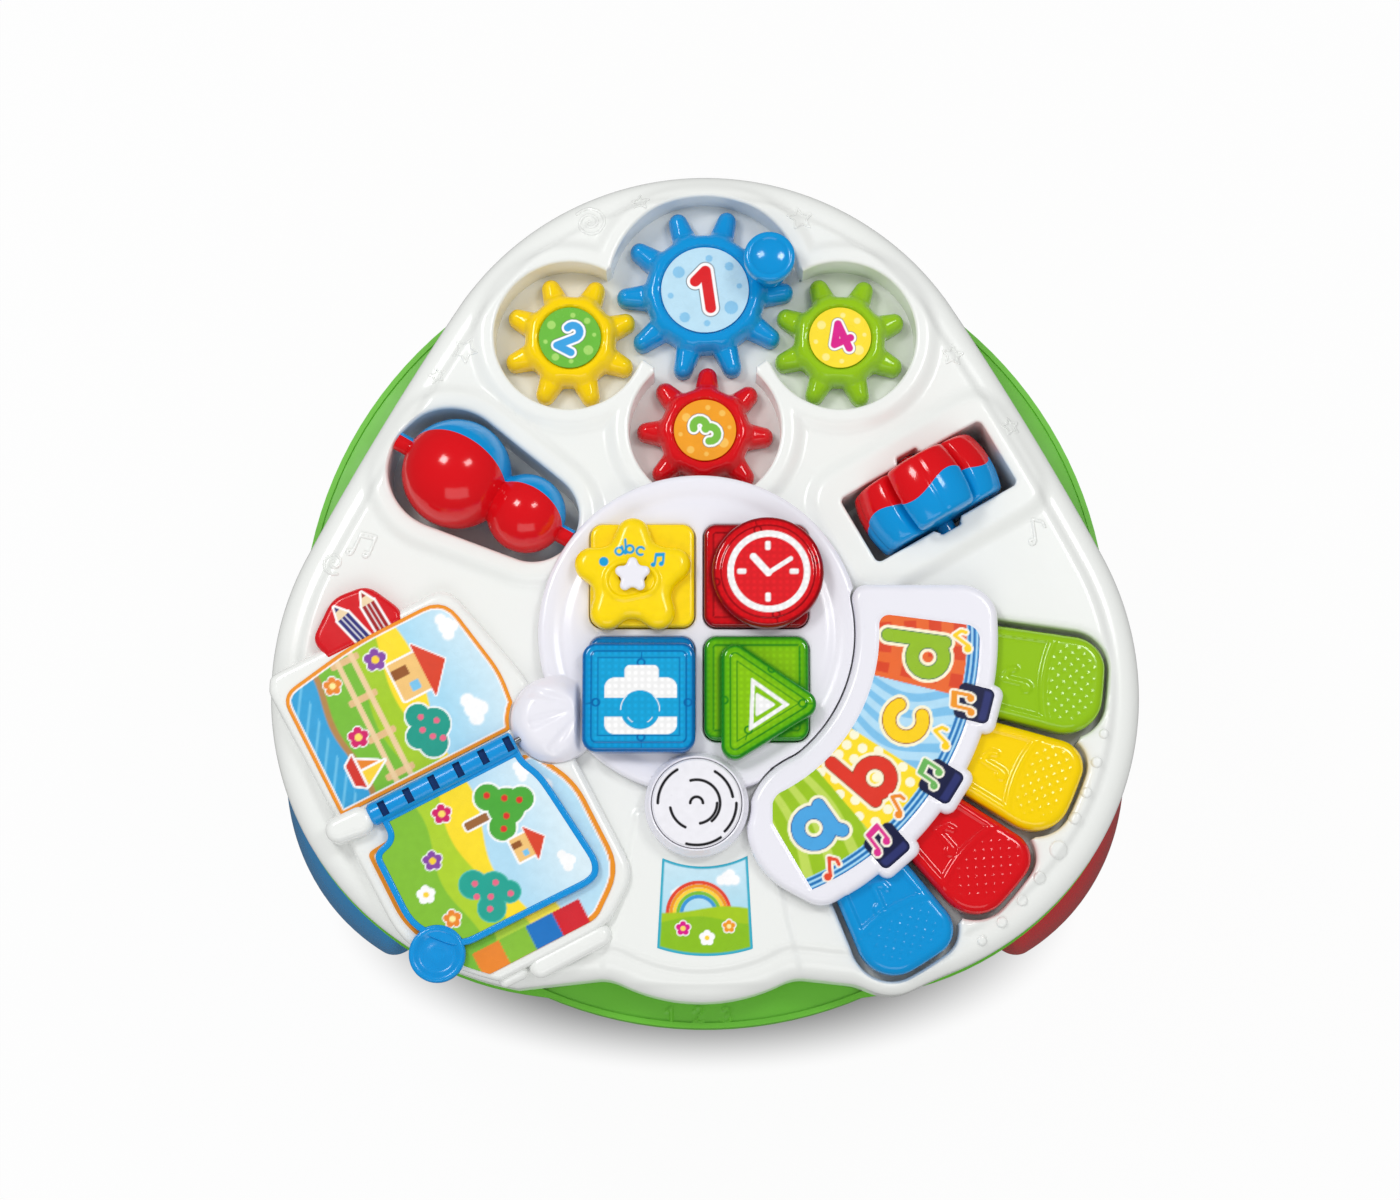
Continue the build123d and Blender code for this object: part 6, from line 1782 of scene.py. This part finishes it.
points, faces = plate(label_inside, 333.75, 0.45, (-26, -172, 26, -112), quarter(0.1, rows=1), 333.3, False)
x, y = points[:, 0], points[:, 1]
tint = plain(x, "A8DDF2")
tint = lay(tint, "CDEBF7", (y + 138) * 0.1, 3.0)
tint = cloud(tint, x, y, (11.0, -130.0), 6.5)
tint = cloud(tint, x, y, (-13.0, -136.5), 3.6)
for k, colour in enumerate(("E8452A", "F59A1C", "FFD83A", "7CC43A", "3A9ADC")):
    tint = lay(tint, colour, np.minimum(ring(x, y, (-3.0, -147.0), 15.0 - 1.7 * k, 1.7), y + 147.0))
tint = hills(tint, x, y, (("A8CE1A", -145.0, 1.6, 9, 0.4), ("8EC41C", -150.0, 1.8, 8, 2.0)))
tint = flower(tint, x, y, (-10.5, -154.0), 3.4, "E0148C", "FFE26A")
tint = flower(tint, x, y, (11.5, -153.0), 3.0, "F59A1C", "FFF2A0")
tint = flower(tint, x, y, (1.0, -158.5), 3.2, "FFFFFF", "FFD83A")
tint = lay(tint, "34B0CC", 1.1 - label_inside(x, y), 0.6)
piece("front_label", points, faces, STICKER, slot="print_white", tint=tint)


# %% [markdown]
# A relief is a thin domed strip laid on the deck. It follows the deck's own height, so it stays
# equally proud on the ridges and on the outer band.

# %% Beads and reliefs
def spiral(centre, radius, turns):
    """Points whose distance from the centre grows evenly with the angle."""
    t = np.linspace(0.12, 1, int(24 * turns))
    angle = 2 * math.pi * turns * t
    return np.stack([centre[0] + radius * t * np.cos(angle), centre[1] + radius * t * np.sin(angle)], -1)


def star_line(centre, size, turn):
    """Ten points, by turns at the full size and at 0.48 of it."""
    reach = np.where(np.arange(10) % 2, 0.48, 1.0) * size
    return [on_circle(centre, r, turn + 90 + 36 * k) for k, r in enumerate(reach)]


def relief(centre, reach, inside, lift=1.0):
    """A strip whose height is the deck's plus a quarter circle of the distance inside it."""
    left = rows_left(0.5, 3)

    def height(x, y):
        return deck_face(x, y) - 0.4 + (lift + 0.4) * np.sqrt(1 - np.clip(1 - inside(x, y) / 1.4, 0, 1) ** 2)

    def rim(x, y, z):
        return (0.5 - left) * np.ones_like(x), z - (lift + 0.4) * (0.7 - left)
    return plate(lambda x, y: inside(x, y) - 0.5, height, 0.5, square(centre, reach), rim,
                 lambda x, y: deck_face(x, y) - 1.0, closed=False)


print("points of the longer spiral:", len(spiral((0, 0), 8.5, 2.4)))

# %% [markdown]
# The reliefs stand where the deck is plain: spirals, stars and notes along its upper sides, and a
# bow of beads outside the keys.

# %% Places of the reliefs
SPIRALS = (((-57.0, 195.6), 8.5, 2.4), ((-181.0, 24.0), 6.0, 1.8))
STARS = (((47.1, 197.2), 6.5, 12), ((-118.3, 130.4), 6.5, 40), ((-32, 205.5), 4.5, 0), ((122, 128), 5.5, 70),
         ((-132, 118), 4.0, 10), ((150, 92), 4.5, 20))
RAISED_NOTES = (((-167.1, 32.3), "notes", 15.0, -20), ((162, 40), "note", 14.0, 15))
BEADS = ((-12.9, 2.6), (-17.3, 2.9), (-22.1, 2.9), (-26.3, 3.2), (-31.6, 4.6), (-36.6, 3.2), (-40.8, 2.9),
         (-45.2, 2.9), (-49.2, 2.6))
reliefs = []
for centre, radius, turns in SPIRALS:
    line = spiral(centre, radius, turns)
    reliefs.append(relief(centre, radius + 3, lambda x, y: stroke(x, y, line, 2.0)))
for centre, size, turn in STARS:
    line = star_line(centre, size, turn)
    reliefs.append(relief(centre, size + 3, lambda x, y: stroke(x, y, line, 1.6, True)))
for centre, sign, size, turn in RAISED_NOTES:
    reliefs.append(relief(centre, size, lambda x, y: glyph(x, y, sign, centre, size, 2.2, turn)))
for angle, size in BEADS:
    centre = on_circle(FAN, 186.4, angle)
    reliefs.append(relief(centre, size + 2, lambda x, y: circle(x, y, centre, size), 1.6))
piece("deck_reliefs", *joined(*reliefs), ABS["white"], slot="deck_white")

# %% [markdown]
# Between the deck's straight front and the tray's round rim a green shelf shows, with three plain
# figures in relief. The bowl is open there in the solids, so the shelf is a piece of its own.

# %% Tray shelf
SHELF, SHELF_EDGE = 199.9, 2.6


def shelf_inside(x, y):
    """Green face between the deck's wall and the rim of the round bowl."""
    return np.minimum(circle(x, y, (0, 0), SHELF), 5.0 - deck_inside(x, y))


def shelf_top(x, y):
    """Slopes down 2 mm towards the rim and carries plain figures 1 mm high at the front."""
    r = np.hypot(x, y)
    places = (("1", -17.0), ("2", -3.4), ("3", 10.4))
    figures = np.max([glyph(x, y, sign, (place, -193.6), 7.6, 1.5) for sign, place in places], 0)
    height = 296.6 - 2.0 * ease(r, 184.0, 203.0) + 1.0 * ease(figures, -0.3, 0.6)
    return height + rounding(SHELF - r, SHELF_EDGE)


def shelf_rim(x, y, z):
    """Four rows down the rest of the quarter circle, from 0.8 mm inside."""
    left = rows_left(0.8, 4)
    return (0.8 - left) * np.ones_like(x), z + rounding(left, SHELF_EDGE) - rounding(0.8, SHELF_EDGE)


shelf = plate(lambda x, y: shelf_inside(x, y) - 0.8, shelf_top, 0.8, (-204, -204, 204, 204), shelf_rim,
              290.0, closed=False)
piece("tray_shelf", *shelf, ABS["green"], slot="tray_green")

# %% [markdown]
# ## Parts that keep their CAD shape
# The tray, the legs, the screws and everything inside have the right shape already. Each gets a
# finish by the material slot that the record gives it.


# %% Finishes of the kept parts
def worn(name, colour, metallic, roughness, scale, depth, drift=0.1):
    """Metal, rubber, board and the rest: a grain of a real size in mm drives colour, gloss and bump."""
    made, tree, output = blank(name)
    coords = add(tree, "TexCoord").outputs["Object"]
    grain = add(tree, "TexNoise", {"Vector": coords, "Scale": 1000.0 / scale, "Detail": 4.0})
    full = linear(colour)
    dark = tuple(channel * (1 - drift) for channel in full[:3]) + (1.0,)
    hue = add(tree, "Mix", {0: grain.outputs["Fac"], 6: full, 7: dark}, data_type="RGBA")
    gloss = add(tree, "MapRange", {"Value": grain.outputs["Fac"], 3: roughness * 0.75, 4: roughness * 1.3})
    bump = add(tree, "Bump", {"Height": grain.outputs["Fac"], "Strength": depth, "Distance": 0.0002})
    shader = add(tree, "BsdfPrincipled", {
        "Base Color": hue.outputs[2], "Metallic": metallic, "Roughness": gloss.outputs[0],
        "Normal": bump.outputs["Normal"]})
    tree.links.new(shader.outputs[0], output.inputs["Surface"])
    return made


FINISH = {
    "deck_white": ABS["white"], "module_white": ABS["cool"], "tray_green": ABS["green"], "blue": ABS["blue"],
    "yellow": ABS["yellow"], "red": ABS["red"], "lime": ABS["lime"], "dark_plastic": ABS["dark"],
    **{slot: worn(slot.replace("lens", "polystyrene"), colour, 0.0, 0.1, 8.0, 0.05)
       for _, slot, colour, *_ in LENS.values()},
    "print_white": worn("coated_paper", "F4F4F0", 0.0, 0.35, 1.2, 0.1, 0.03),
    "board_green": worn("solder_mask", "1E6A3A", 0.0, 0.25, 2.0, 0.2, 0.25),
    "steel": worn("zinc_plated_steel", "B9BCC0", 1.0, 0.28, 0.8, 0.15),
    "cell": worn("printed_cell_jacket", "2C2E34", 0.6, 0.3, 5.0, 0.05),
    "rubber_grey": worn("silicone_rubber", "6E7074", 0.0, 0.6, 0.7, 0.3),
    "lamp": worn("epoxy_lamp", "F2F0E6", 0.0, 0.12, 3.0, 0.05, 0.05),
}
slot_of = {part["node"]: part["material_slot"] for part in frame["record"]["subparts"]}
for name, node in frame["nodes"].items():
    if not node.data.materials:
        node.data.materials.append(FINISH[slot_of[name]])
    for place in node.material_slots:
        place.material = FINISH[slot_of[name]]
print("kept CAD nodes dressed:", len(frame["nodes"]))
